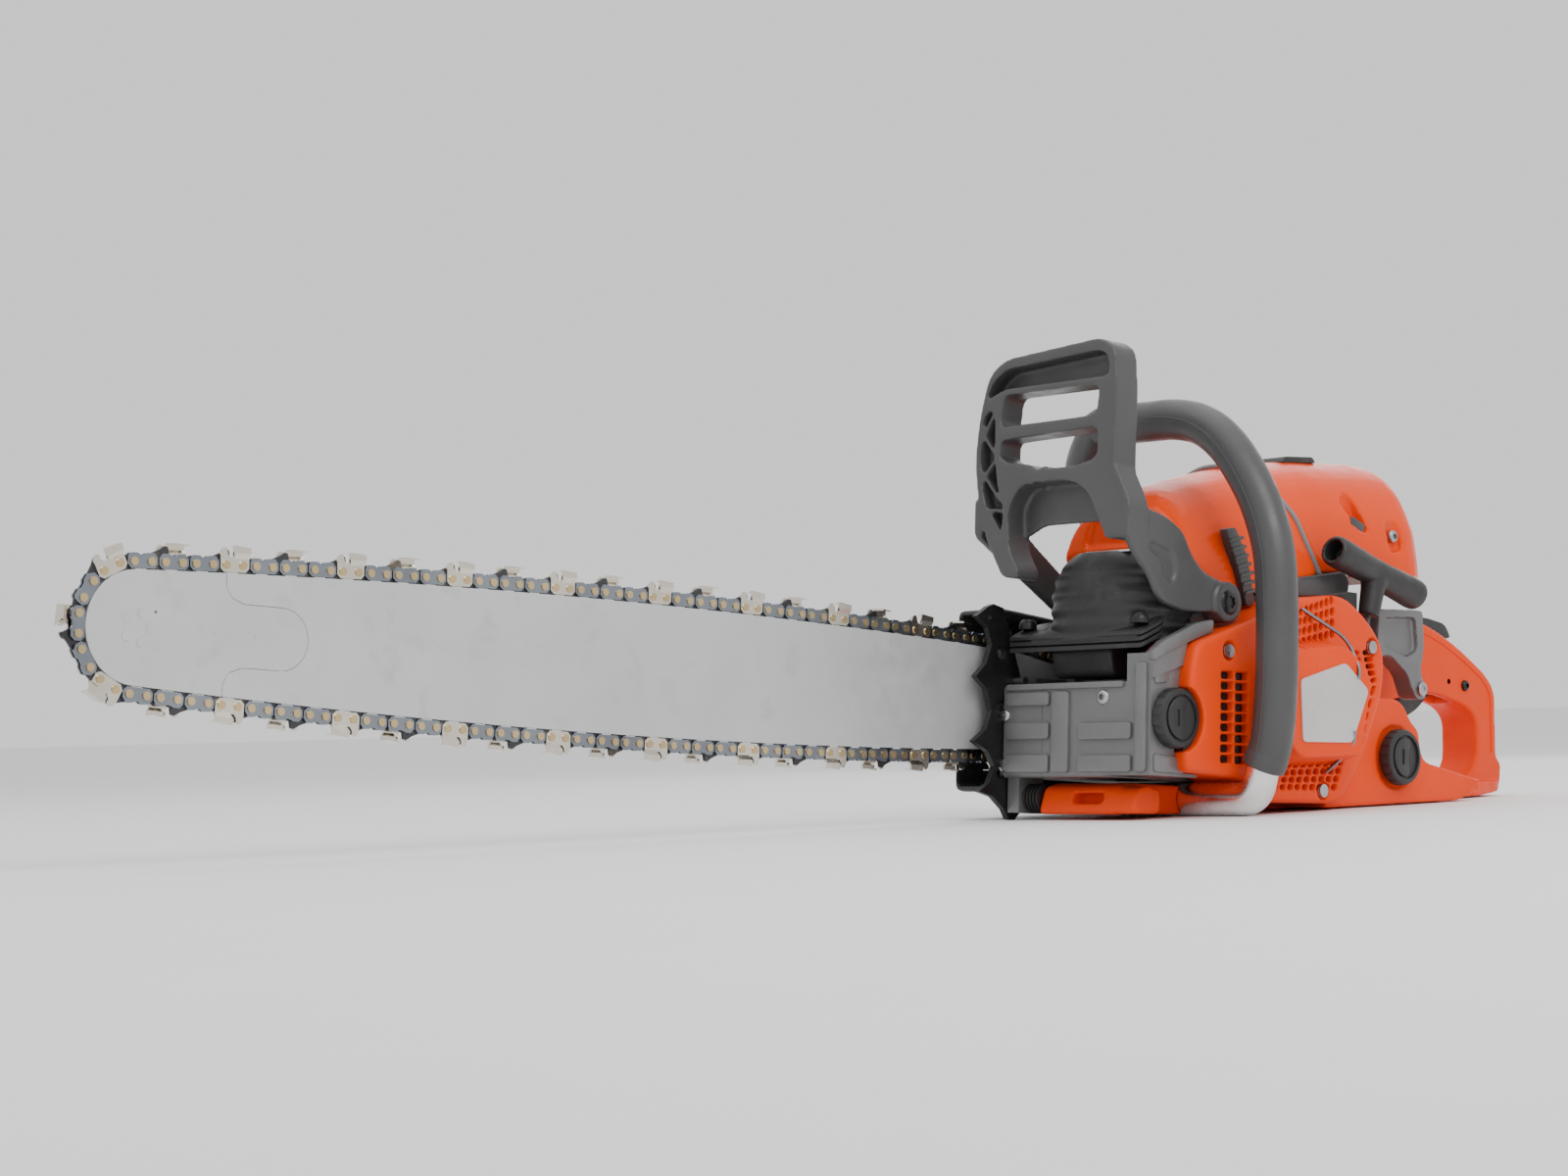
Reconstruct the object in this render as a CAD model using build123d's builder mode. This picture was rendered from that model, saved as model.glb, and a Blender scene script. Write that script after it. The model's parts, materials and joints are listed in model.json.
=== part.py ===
"""A professional petrol chainsaw with a 28 inch bar, in millimetres.

The saw is drawn in its own design frame: the crankshaft axis is the Y axis, the bar points along -X,
+Y is the bar side and +Z is up. STAND then sets it nose-up on the ground, on its spike, handle and tank.
"""

import os
from math import asin, atan2, cos, degrees, hypot, pi, radians, sin, tan

from build123d import *

os.makedirs("parts", exist_ok=True)

# ---------------------------------------------------------------- how the saw stands
STAND_TILT = 4.0  # degrees, nose up
CRANK_HEIGHT = 72.4  # crankshaft axis above the ground
STAND = Location((0, 0, CRANK_HEIGHT), (0, STAND_TILT, 0))

# ---------------------------------------------------------------- guide bar and chain
BAR_Y = 60.0
BAR_THICKNESS = 4.8
NOSE_X = -785.0
NOSE_RADIUS = 30.6
BELLY_X = -420.0
BELLY_HALF_HEIGHT = 40.0
TAIL_START_X = -110.0
TAIL_RADIUS = 156.0
TAIL_END_X = -45.0
GROOVE_WIDTH = 1.6
GROOVE_DEPTH = 8.0
SEAM_X = -731.0
TONGUE_RADIUS = 17.0
TONGUE_X = -694.0
SEAM_GAP = 0.35
NOSE_TOOTH_COUNT = 12
NOSE_RIVET_RADIUS = 2.5
NOSE_HUB_RADIUS = 14.0

STRAP_PITCH = 10.6
DRIVE_PITCH = 8.45
DRIVE_LINK_COUNT = 92
RIDE = 4.4  # rivet line above the bar rails
STRAP_THICKNESS = 1.45
DRIVE_THICKNESS = 1.5
STRAP_INNER = 0.82  # inner face of a strap from the chain's centre plane
STRAP_OUTER = STRAP_INNER + STRAP_THICKNESS
RIVET_SHANK = 1.7
RIVET_HEAD = 2.35
RIVET_HEAD_HEIGHT = 0.7
SPROCKET_PATH_RADIUS = 21.5
CHAIN_START = 14.0  # where the first rivet lies along the loop

# ---------------------------------------------------------------- engine
SHAFT_RADIUS = 8.0
FIT = 0.06  # radial running clearance
THROW = 18.0
ROD_LENGTH = 60.0
PISTON_RADIUS = 25.0
BORE_RADIUS = 25.3
WEB_RADIUS = 30.0
CASE_SEAM = 10.0
CASE_LEFT_Y = -44.0
CASE_RIGHT_Y = 44.0
TANK_LEFT_Y = -82.0
FLYWHEEL_RADIUS = 47.0
PULLEY_RADIUS = 24.0
DRUM_RADIUS = 38.0
STUD_RADIUS = 4.0
STUD_X = (-70.0, -90.0)

# ---------------------------------------------------------------- joints' places
GUARD_PIVOT = (-50.0, 64.0)
TRIGGER_PIVOT = (286.0, 34.0)
LOCKOUT_PIVOT = (247.0, 56.0)
OIL_CAP = (-107.0, -15.0)
FUEL_CAP = (143.0, -29.0)
CAP_RADIUS = 19.5
CAP_NECK_RADIUS = 11.5
PULL_FROM = (102.0, 52.0)  # rope eyelet
PULL_GRIP = (113.0, 97.0)  # middle of the pull handle
PULL_Y = -81.5
ROPE_RADIUS = 1.75
DECOMP = (-42.0, 21.0)

# ---------------------------------------------------------------- outlines in the X-Z plane
CASE_OUTLINE = [(-127, -53), (-127, 8), (-60, 8), (-48, 37), (48, 37), (56, 20), (56, -40), (40, -53)]
COVER_OUTLINE = [
    (-93, 34), (-30, 55), (10, 71), (64, 78), (93, 62), (111, 44), (110, 15), (86, -34),
    (66, -58), (58, -64), (-20, -66), (-45, -51), (-101, -49), (-103, -33), (-98, 14),
]
COVER_INNER = [
    (-90, 30), (-29, 51), (11, 67), (62, 74), (90, 59), (107, 42), (106, 16), (83, -32),
    (64, -54), (56, -60), (-18, -62), (-43, -47), (-97, -45), (-98, -33), (-94, 14),
]
DOME_OUTLINE = [(-34, -22), (-32, 18), (-10, 40), (44, 46), (86, 20), (66, -38), (-16, -42)]
BADGE_OUTLINE = [(-10, -22), (-13, 14), (38, 29), (64, 12), (46, -25)]
SPIKE_OUTLINE = [
    (-138, 62), (-143, 60), (-154, 53), (-143, 46), (-139, 35), (-144, 22), (-154, 13), (-143, 5),
    (-138, -9), (-143, -22), (-155, -30), (-141, -36), (-134, -46), (-139, -57), (-149, -63),
    (-135, -66), (-124, -74), (-119.5, -80.4), (-114, -80.8), (-109, -76), (-112, -60), (-102, -42),
    (-102, -8), (-112, 20), (-128, 60),
]
GUARD_ARM = [
    (-150, 98), (-150, 119), (-114, 115), (-96, 106), (-86, 90), (-72, 80), (-56, 77), (-40, 70),
    (-40, 57), (-52, 51), (-64, 57), (-92, 55), (-115, 60), (-126, 77),
]
BRAKE_ARM = [
    (-150, 104), (-150, 132), (-130, 132), (-96, 104), (-54, 78), (-38, 70), (-38, 57), (-50, 52),
]
CYLINDER_COVER_SIDE = [
    (-72, 96), (-67, 128), (-50, 141), (-22, 152), (34, 166), (56, 171), (52, 134), (72, 96),
    (52, 88), (20, 80),
    (-21, 70), (-56, 76),
]
FILTER_COVER_SIDE = [
    (53, 134), (57, 172), (95, 177), (165, 182), (196, 176), (208, 158), (210, 128), (202, 108),
    (104, 99), (73, 96),
]
LATCH_OUTLINE = [(-34, 116), (-24, 118), (-12, 100), (-2, 68), (-11, 66), (-20, 90)]
TANK_OUTLINE = [
    (62, -67), (62, 6), (70, 11), (150, 12), (163, -4), (171, -8), (175, -30), (252, -40),
    (316, -32), (326, -18), (323, 9), (309, 17), (262, 26), (205, 14), (186, 14), (150, 40), (168, 66),
    (205, 74), (240, 78), (271, 72), (302, 60), (334, 44), (347, 31), (350, -19), (357, -24),
    (354, -44), (312, -49.5), (227, -55.8),
]
CLUTCH_COVER_OUTLINE = [(-118, -62), (-118, 62), (-60, 58), (34, 50), (58, 22), (56, -38), (34, -56)]
CLUTCH_COVER_INNER = [(-130, -58.5), (-130, 58.5), (-61, 54.5), (32, 46.5), (54, 20), (52, -36),
    (32, -52)]
BRACKET_OUTLINE = [(-120, -77), (-114, -59), (-104, -56), (-36, -56), (-36, -74.2)]
AV_BRACKET_OUTLINE = [
    (148, 76), (201, 79), (203, 52), (199, 36), (206, 15), (191, 15), (183, 32), (162, 44), (146, 42),
]

# ---------------------------------------------------------------- outlines in the Y-Z plane
GUARD_OUTLINE = [
    (-67, 98), (-67, 221), (-58, 229), (28, 223), (42, 213), (51, 188), (53, 158), (50, 130), (42, 104),
    (27, 79), (13, 79),
]
GUARD_ARCH = [
    (13, 70), (14, 83), (21, 95), (23, 124), (14, 136), (4, 139), (-33, 138), (-47, 129),
    (-60, 104), (-60, 70),
]
UPPER_WINDOW = [(-54, 178), (-55, 199), (28, 199), (31, 176)]
LOWER_WINDOW = [(-54, 171), (30, 169), (30, 154), (5, 151), (0, 147.5), (-33, 147), (-54, 151)]
COVER_FRONT = [
    (-62, 60), (-64, 110), (-56, 150), (-38, 176), (-20, 186), (14, 186), (32, 174), (42, 148), (44, 60),
]
COVER_ROOM = [
    (-59, 40), (-61, 108), (-53, 148), (-36, 172), (-19, 182), (13, 182), (29, 172), (39, 146), (41, 40),
]


# ---------------------------------------------------------------- helpers
def finish(builder, name):
    """Stand a finished sub-part with the saw, label it and write it."""
    piece = builder.part.moved(STAND)
    piece.label = name
    export_step(piece, f"parts/{name}.step")


def side_plane(y):
    """Plane whose sketch axes are X and Z, and whose extrusions run towards -Y."""
    return Plane.XZ.offset(-y)


def front_plane(x):
    """Plane whose sketch axes are Y and Z, and whose extrusions run towards +X."""
    return Plane.YZ.offset(x)


def face_from(points, radius=0.0):
    """Fill a closed outline, with every corner rounded to the radius."""
    with BuildLine() as outline:
        if radius:
            FilletPolyline(*points, radius=radius, close=True)
        else:
            Polyline(*points, close=True)
    make_face(outline.edges())


def side_slab(points, y_low, y_high, radius=0.0, mode=Mode.ADD):
    """A flat piece with an X-Z outline between two Y planes."""
    with BuildSketch(side_plane(y_high)) as profile:
        face_from(points, radius)
    extrude(profile.sketch, amount=y_high - y_low, mode=mode)


def front_slab(points, x_low, x_high, radius=0.0, mode=Mode.ADD):
    """A flat piece with a Y-Z outline between two X planes."""
    with BuildSketch(front_plane(x_low)) as profile:
        face_from(points, radius)
    extrude(profile.sketch, amount=x_high - x_low, mode=mode)


def cross_disc(radius, y_low, y_high, centre=(0, 0), mode=Mode.ADD):
    """A round piece along Y, with its centre given in X and Z."""
    with BuildSketch(side_plane(y_high)) as profile:
        with Locations(centre):
            Circle(radius)
    extrude(profile.sketch, amount=y_high - y_low, mode=mode)


def cross_ring(inner, outer, y_low, y_high, centre=(0, 0), mode=Mode.ADD):
    """A ring along Y."""
    with BuildSketch(side_plane(y_high)) as profile:
        with Locations(centre):
            Circle(outer)
            Circle(inner, mode=Mode.SUBTRACT)
    extrude(profile.sketch, amount=y_high - y_low, mode=mode)


def block(low, high, mode=Mode.ADD):
    """A box between two corners."""
    centre = tuple((a + b) / 2 for a, b in zip(low, high))
    size = [b - a for a, b in zip(low, high)]
    with Locations(centre):
        Box(*size, mode=mode)


def upright(radius, low, high, centre, mode=Mode.ADD):
    """A round piece along Z, with its centre given in X and Y."""
    with BuildSketch(Plane.XY.offset(low)) as profile:
        with Locations(centre):
            Circle(radius)
    extrude(profile.sketch, amount=high - low, mode=mode)


def lying(radius, x_low, x_high, centre, mode=Mode.ADD):
    """A round piece along X, with its centre given in Y and Z."""
    with BuildSketch(front_plane(x_low)) as profile:
        with Locations(centre):
            Circle(radius)
    extrude(profile.sketch, amount=x_high - x_low, mode=mode)


def cover_space(gap, y_high, mode=Mode.SUBTRACT):
    """The starter cover's outline, grown by a gap, cut away up to a Y plane."""
    with BuildSketch(side_plane(y_high)) as profile:
        face_from(COVER_OUTLINE)
        offset(amount=gap, kind=Kind.INTERSECTION)
    extrude(profile.sketch, amount=y_high + 95, mode=mode)


def ground(x):
    """Height of the ground in the design frame."""
    return (x * sin(radians(STAND_TILT)) - CRANK_HEIGHT) / cos(radians(STAND_TILT))


# ---------------------------------------------------------------- guide bar geometry
BELLY_RADIUS = (
    (BELLY_X - NOSE_X) ** 2 / (BELLY_HALF_HEIGHT - NOSE_RADIUS) + BELLY_HALF_HEIGHT + NOSE_RADIUS
) / 2
BELLY_Z = BELLY_HALF_HEIGHT - BELLY_RADIUS
NOSE_ANGLE = degrees(atan2(-BELLY_Z, NOSE_X - BELLY_X))
TAIL_ANGLE = 90 - degrees(asin((TAIL_START_X - BELLY_X) / BELLY_RADIUS))
TAIL_CENTRE = (
    BELLY_X + (BELLY_RADIUS - TAIL_RADIUS) * cos(radians(TAIL_ANGLE)),
    BELLY_Z + (BELLY_RADIUS - TAIL_RADIUS) * sin(radians(TAIL_ANGLE)),
)
LEAVE_ANGLE = degrees(
    atan2(-TAIL_CENTRE[1], -TAIL_CENTRE[0])
) + degrees(pi / 2 - asin((TAIL_RADIUS + RIDE - SPROCKET_PATH_RADIUS) / hypot(*TAIL_CENTRE)))


def on_circle(centre, radius, angle):
    """A point on a circle."""
    return (centre[0] + radius * cos(radians(angle)), centre[1] + radius * sin(radians(angle)))


def upper_rail(rise):
    """Arcs of the upper rail from the nose tip to the tail, moved outwards by the rise."""
    CenterArc((NOSE_X, 0), NOSE_RADIUS + rise, 180, NOSE_ANGLE - 180)
    CenterArc((BELLY_X, BELLY_Z), BELLY_RADIUS + rise, NOSE_ANGLE, TAIL_ANGLE - NOSE_ANGLE)
    CenterArc(TAIL_CENTRE, TAIL_RADIUS + rise, TAIL_ANGLE, LEAVE_ANGLE - TAIL_ANGLE)


def bar_face(rise=0.0):
    """The bar's outline, grown by the rise."""
    leave = on_circle(TAIL_CENTRE, TAIL_RADIUS + rise, LEAVE_ANGLE)
    tail_z = leave[1] + (TAIL_END_X + rise - leave[0]) * tan(radians(LEAVE_ANGLE - 90))
    with BuildLine() as outline:
        upper_rail(rise)
        Polyline(leave, (TAIL_END_X + rise, tail_z), (TAIL_END_X + rise, 0))
        mirror(about=Plane.XZ)
    make_face(outline.edges())


def nose_region(gap):
    """The replaceable nose's side of the seam, grown by the gap."""
    root = TONGUE_RADIUS + gap
    face_from([(NOSE_X - 50, -50), (NOSE_X - 50, 50), (SEAM_X + gap, 50), (SEAM_X + gap, -50)])
    face_from([
        (SEAM_X - 1, -26), (SEAM_X - 1, 26), (SEAM_X + gap, 26), (SEAM_X + 4, root + 3),
        (SEAM_X + 12, root),
        (TONGUE_X, root), (TONGUE_X, -root), (SEAM_X + 12, -root), (SEAM_X + 4, -root - 3),
        (SEAM_X + gap, -26),
    ])
    with Locations((TONGUE_X, 0)):
        Circle(root)


NOSE_RIVETS = [on_circle((NOSE_X, 0), 8.2, 72 * i) for i in range(5)]

with BuildPart() as guide_bar:
    with BuildSketch(side_plane(BAR_Y + BAR_THICKNESS / 2)):
        bar_face()
        with BuildSketch(mode=Mode.PRIVATE) as nose_side:
            nose_region(SEAM_GAP)
        add(nose_side.sketch, mode=Mode.SUBTRACT)
    extrude(amount=BAR_THICKNESS)
    with BuildSketch(side_plane(BAR_Y + GROOVE_WIDTH / 2)):
        bar_face()
        with BuildSketch(mode=Mode.PRIVATE) as groove_floor:
            bar_face(-GROOVE_DEPTH)
        add(groove_floor.sketch, mode=Mode.SUBTRACT)
    extrude(amount=GROOVE_WIDTH, mode=Mode.SUBTRACT)
    with BuildSketch(side_plane(BAR_Y + BAR_THICKNESS)):
        with Locations(((STUD_X[0] + STUD_X[1]) / 2 - 4, 0)):
            SlotCenterToCenter(abs(STUD_X[1] - STUD_X[0]) + 10, 2 * STUD_RADIUS + 0.4)
        with Locations((-104, 17), (-104, -17)):
            Circle(2.2)
    extrude(amount=2 * BAR_THICKNESS, mode=Mode.SUBTRACT)
finish(guide_bar, "guide_bar")

with BuildPart() as bar_nose:
    with BuildSketch(side_plane(BAR_Y + BAR_THICKNESS / 2)):
        bar_face()
        with BuildSketch(mode=Mode.PRIVATE) as nose_shape:
            nose_region(0)
        add(nose_shape.sketch, mode=Mode.INTERSECT)
    extrude(amount=BAR_THICKNESS)
    with BuildSketch(side_plane(BAR_Y + GROOVE_WIDTH / 2)):
        bar_face(1.0)
        with BuildSketch(mode=Mode.PRIVATE) as nose_floor:
            bar_face(-GROOVE_DEPTH)
            with Locations((SEAM_X, 0)):
                Rectangle(120, 2 * (NOSE_RADIUS - GROOVE_DEPTH))
        add(nose_floor.sketch, mode=Mode.SUBTRACT)
    extrude(amount=GROOVE_WIDTH, mode=Mode.SUBTRACT)
    cross_disc(NOSE_RADIUS - 3.6, BAR_Y - 1.0, BAR_Y + 1.0, (NOSE_X, 0), Mode.SUBTRACT)
    for rivet in NOSE_RIVETS:
        cross_disc(NOSE_RIVET_RADIUS + 0.05, BAR_Y - 3, BAR_Y + 3, rivet, Mode.SUBTRACT)
    cross_disc(0.9, BAR_Y - 3, BAR_Y + 3, (NOSE_X + 11, 9), Mode.SUBTRACT)
    for dimple_x in (SEAM_X - 7, SEAM_X + 19):
        cross_disc(1.1, BAR_Y - 2.6, BAR_Y - 2.2, (dimple_x, 0), Mode.SUBTRACT)
finish(bar_nose, "bar_nose")

with BuildPart() as nose_rivets:
    cross_disc(NOSE_HUB_RADIUS - FIT, BAR_Y - 0.9, BAR_Y + 0.9, (NOSE_X, 0))
    for rivet in NOSE_RIVETS:
        cross_disc(NOSE_RIVET_RADIUS, BAR_Y - 2.55, BAR_Y + 2.55, rivet)
finish(nose_rivets, "nose_rivets")

with BuildPart() as nose_sprocket:
    with BuildSketch(side_plane(BAR_Y + 0.75)):
        with Locations((NOSE_X, 0)):
            Circle(24.9)
            with PolarLocations(25.6, NOSE_TOOTH_COUNT):
                Circle(3.9, mode=Mode.SUBTRACT)
            Circle(NOSE_HUB_RADIUS, mode=Mode.SUBTRACT)
    extrude(amount=1.5)
finish(nose_sprocket, "nose_sprocket")

# ---------------------------------------------------------------- saw chain
with BuildLine() as upper_loop:
    upper_rail(RIDE)
    Line(
        on_circle(TAIL_CENTRE, TAIL_RADIUS + RIDE, LEAVE_ANGLE),
        on_circle((0, 0), SPROCKET_PATH_RADIUS, LEAVE_ANGLE),
    )
    CenterArc((0, 0), SPROCKET_PATH_RADIUS, LEAVE_ANGLE, -LEAVE_ANGLE)
half_loop = upper_loop.wire()
HALF_LENGTH = half_loop.length
LOOP_LENGTH = 2 * HALF_LENGTH


def loop_point(distance):
    """X and Z of a point on the loop, measured from the sprocket's rear in the cutting direction."""
    distance %= LOOP_LENGTH
    upper = distance <= HALF_LENGTH
    along = HALF_LENGTH - distance if upper else distance - HALF_LENGTH
    point = half_loop.position_at(along, position_mode=PositionMode.LENGTH)
    return Vector(point.X, 0, point.Y if upper else -point.Y)


def rivet_line(stretch):
    """Rivet places round the loop, and the length of loop that they use."""
    here = CHAIN_START
    points = []
    for i in range(2 * DRIVE_LINK_COUNT):
        points.append(loop_point(here))
        pitch = stretch * (STRAP_PITCH if i % 2 == 0 else DRIVE_PITCH)
        step = pitch
        for _ in range(3):
            step *= pitch / (loop_point(here + step) - points[-1]).length
        here += step
    return points, here - CHAIN_START


STRETCH = LOOP_LENGTH / rivet_line(1.0)[1]
RIVETS = rivet_line(STRETCH)[0]


def link_place(i):
    """Placement of the link from rivet i to the next: X along the cut, Z away from the bar."""
    start = RIVETS[i]
    end = RIVETS[(i + 1) % len(RIVETS)]
    along = (end - start).normalized()
    middle = (start + end) / 2 + Vector(0, BAR_Y, 0)
    return Location(Plane(origin=middle, x_dir=along, z_dir=along.cross(Vector(0, -1, 0))))


DRIVE_PLACES = [link_place(i) for i in range(1, 2 * DRIVE_LINK_COUNT, 2)]
STRAP_PLACES = [link_place(i) for i in range(0, 2 * DRIVE_LINK_COUNT, 2)]
HALF_STRAP = STRAP_PITCH * STRETCH / 2
HALF_DRIVE = DRIVE_PITCH * STRETCH / 2
STRAP_FACE = [
    (-9.1, -1.6), (-6.9, -3.8), (6.9, -3.8), (9.1, -1.6), (9.1, 2.0), (6.9, 4.5), (3.0, 4.5),
    (1.4, 3.5), (-1.4, 3.5),
    (-3.0, 4.5), (-6.9, 4.5), (-9.1, 2.0),
]

with BuildPart() as tie_strap:
    side_slab(STRAP_FACE, -STRAP_OUTER, -STRAP_INNER)
    for x in (-HALF_STRAP, HALF_STRAP):
        cross_disc(RIVET_SHANK + FIT, -STRAP_OUTER, -STRAP_INNER, (x, 0), Mode.SUBTRACT)

with BuildPart() as far_tie_strap:
    add(mirror(tie_strap.part, about=Plane.XZ, mode=Mode.PRIVATE))

DRIVE_FACE = [
    (-7.4, -2.6), (-7.4, 2.2), (-5.4, 3.8), (5.4, 3.8), (7.4, 2.2), (7.4, -2.6), (5.6, -4.0),
    (4.4, -7.0), (1.2, -9.6),
    (-0.6, -9.6), (-2.6, -6.6), (-5.2, -4.0),
]
RAMP_FACE = [
    (-7.4, -2.6), (-7.4, 4.6), (-6.6, 8.2), (-4.6, 8.6), (-1.0, 6.4), (3.6, 4.6), (7.4, 2.4), (7.4, -2.6),
    (5.6, -4.0), (4.4, -7.0), (1.2, -9.6), (-0.6, -9.6), (-2.6, -6.6), (-5.2, -4.0),
]


def drive_link_solid(face):
    """One drive link with its tang and two rivet holes."""
    side_slab(face, -DRIVE_THICKNESS / 2, DRIVE_THICKNESS / 2)
    for x in (-HALF_DRIVE, HALF_DRIVE):
        cross_disc(RIVET_SHANK + FIT, -DRIVE_THICKNESS / 2, DRIVE_THICKNESS / 2, (x, 0), Mode.SUBTRACT)


with BuildPart() as drive_link:
    drive_link_solid(DRIVE_FACE)

with BuildPart() as ramp_link:
    drive_link_solid(RAMP_FACE)

CUTTER_PLATE = [
    (-9.1, -1.6), (-6.9, -3.8), (6.9, -3.8), (9.1, -1.6), (9.1, 5.6), (8.2, 8.4), (6.4, 9.5),
    (5.0, 9.2), (4.4, 6.2),
    (2.9, 4.3), (1.2, 4.4), (0.4, 5.4), (-9.1, 5.4),
]
CUTTER_HOOK = [
    (-STRAP_INNER, 3.6), (-STRAP_OUTER, 3.6), (-4.1, 6.4), (-4.1, 10.5), (2.7, 10.5), (2.7, 9.2),
    (-2.6, 9.2),
    (-2.6, 7.0), (-STRAP_INNER, 5.0),
]

with BuildPart() as cutter_hook:
    front_slab(CUTTER_HOOK, -9.3, 2.3)
    side_slab([(-9.3, 3), (-9.3, 9.6), (1.4, 10.6), (2.2, 7.4), (0.6, 5.0),
        (0.2, 3)], -6, 6, mode=Mode.INTERSECT)
    with BuildSketch(Plane.XY):
        face_from([(2.4, -6), (2.4, -4.2), (-2.0, 3.4), (6, 3.4), (6, -6)])
    extrude(amount=12, mode=Mode.SUBTRACT)

with BuildPart() as near_cutter:
    side_slab(CUTTER_PLATE, -STRAP_OUTER, -STRAP_INNER)
    add(cutter_hook.part)
    for x in (-HALF_STRAP, HALF_STRAP):
        cross_disc(RIVET_SHANK + FIT, -STRAP_OUTER, -STRAP_INNER, (x, 0), Mode.SUBTRACT)

with BuildPart() as far_cutter:
    add(mirror(near_cutter.part, about=Plane.XZ, mode=Mode.PRIVATE))

with BuildPart() as chain_rivet:
    cross_disc(RIVET_SHANK, -STRAP_OUTER, STRAP_OUTER)
    cross_disc(RIVET_HEAD, -STRAP_OUTER - RIVET_HEAD_HEIGHT, -STRAP_OUTER - 0.02)
    cross_disc(RIVET_HEAD, STRAP_OUTER + 0.02, STRAP_OUTER + RIVET_HEAD_HEIGHT)
    cross_disc(RIVET_SHANK, -STRAP_OUTER - RIVET_HEAD_HEIGHT, STRAP_OUTER + RIVET_HEAD_HEIGHT)


def chain_group(*sets):
    """All the copies of some links, as one compound of separate solids."""
    return Compound([solid.part.solid().moved(place) for solid, places in sets for place in places])


def finish_group(group, name):
    """Stand a compound of solids with the saw, label it and write it."""
    piece = group.moved(STAND)
    piece.label = name
    export_step(piece, f"parts/{name}.step")


finish_group(
    chain_group((drive_link, DRIVE_PLACES[::2]), (ramp_link, DRIVE_PLACES[1::2])),
    "chain_drive_links",
)
finish_group(
    chain_group((near_cutter, STRAP_PLACES[1::4]), (far_cutter, STRAP_PLACES[3::4])),
    "chain_cutters",
)
finish_group(
    chain_group(
        (tie_strap, STRAP_PLACES[::2]),
        (far_tie_strap, STRAP_PLACES[::2]),
        (far_tie_strap, STRAP_PLACES[1::4]),
        (tie_strap, STRAP_PLACES[3::4]),
    ),
    "chain_tie_straps",
)
finish_group(
    chain_group((chain_rivet, [Location(point + Vector(0, BAR_Y, 0)) for point in RIVETS])),
    "chain_rivets",
)

# ---------------------------------------------------------------- crankcase
with BuildPart() as crankcase_left:
    side_slab(CASE_OUTLINE, CASE_LEFT_Y, CASE_SEAM - 0.15, 3)
    side_slab([(-127, -52), (-127, 26), (-80, 26), (-80, -52)], TANK_LEFT_Y, -62)
    side_slab([(-127, -52), (-127, 8), (-80, 8), (-80, -52)], -63, CASE_LEFT_Y + 2)
    side_slab([(-127, 10), (-127, 26), (-116, 34), (-84, 47), (-68, 50.5),
        (-66, 30)], TANK_LEFT_Y - 2, -77)
    side_slab([(-80, 30), (-80, 48), (-68, 50.5), (-66, 30)], -80, -62)
    side_slab([(-70, 30), (-70, 52), (-62, 56), (-62, 64), (-38, 64), (-20, 66), (-20, 48), (-40, 20)],
              -67, CASE_LEFT_Y)
    cross_disc(12, -67, CASE_LEFT_Y, GUARD_PIVOT)
    cover_space(0.5, CASE_LEFT_Y - 2.6)
    side_slab(COVER_INNER, CASE_LEFT_Y - 2.6, CASE_LEFT_Y + 2)
    cross_disc(STUD_RADIUS + 0.05, -70, -52, GUARD_PIVOT, Mode.SUBTRACT)
    block((-40, -44, 37.2), (46, 44, 140), Mode.SUBTRACT)
    cross_disc(34.5, -17.6, 20, mode=Mode.SUBTRACT)
    cross_disc(20.05, -29.2, 0, mode=Mode.SUBTRACT)
    cross_disc(SHAFT_RADIUS + 0.5, -60, 0, mode=Mode.SUBTRACT)
    upright(27.5, 0, 60, (0, 0), Mode.SUBTRACT)
    block((-121, -76, -47), (-58, 4, 2), Mode.SUBTRACT)
    cross_disc(CAP_NECK_RADIUS + 0.3, TANK_LEFT_Y - 1, -70, OIL_CAP, Mode.SUBTRACT)
finish(crankcase_left, "crankcase_left")

with BuildPart() as crankcase_right:
    side_slab(CASE_OUTLINE, CASE_SEAM + 0.15, CASE_RIGHT_Y, 3)
    side_slab([(-122, -76), (-122, -50), (-98, -50), (-98, -76)], 34, CASE_RIGHT_Y)
    side_slab([(-97, -15), (-97, 15), (-58, 15), (-58, -15)], CASE_RIGHT_Y - 1, BAR_Y - 2.6)
    side_slab([(-66, 6), (-62, 70), (-54, 76), (-44, 76), (-41.5, 70), (-41.5, 6)], 36, CASE_RIGHT_Y)
    cross_disc(STUD_RADIUS + 0.05, 34, 60, GUARD_PIVOT, Mode.SUBTRACT)
    for x in STUD_X:
        cross_disc(STUD_RADIUS + 0.05, 34, 60, (x, 0), Mode.SUBTRACT)
    cross_disc(34.5, -20, 17.6, mode=Mode.SUBTRACT)
    cross_disc(20.05, 0, 29.2, mode=Mode.SUBTRACT)
    cross_disc(SHAFT_RADIUS + 0.5, 0, 60, mode=Mode.SUBTRACT)
    upright(27.5, 0, 60, (0, 0), Mode.SUBTRACT)
    for x, z in ((-115, 12), (-113, -38)):
        cross_disc(2.55, 30, 50, (x, z), Mode.SUBTRACT)
finish(crankcase_right, "crankcase_right")

# ---------------------------------------------------------------- crank train
with BuildPart() as crankshaft_halves:
    for sign, end in ((-1, 75), (1, 92)):
        web = sorted((sign * 9.0, sign * 17.2))
        stub = sorted((sign * 9.0, sign * end))
        cross_disc(WEB_RADIUS, *web)
        cross_disc(SHAFT_RADIUS, *stub)
finish(crankshaft_halves, "crankshaft_halves")

with BuildPart() as main_bearings:
    for low, high in ((-29.0, -18.2), (18.2, 29.0)):
        cross_ring(SHAFT_RADIUS + FIT, 20.0, low, high)
finish(main_bearings, "main_bearings")

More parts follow.
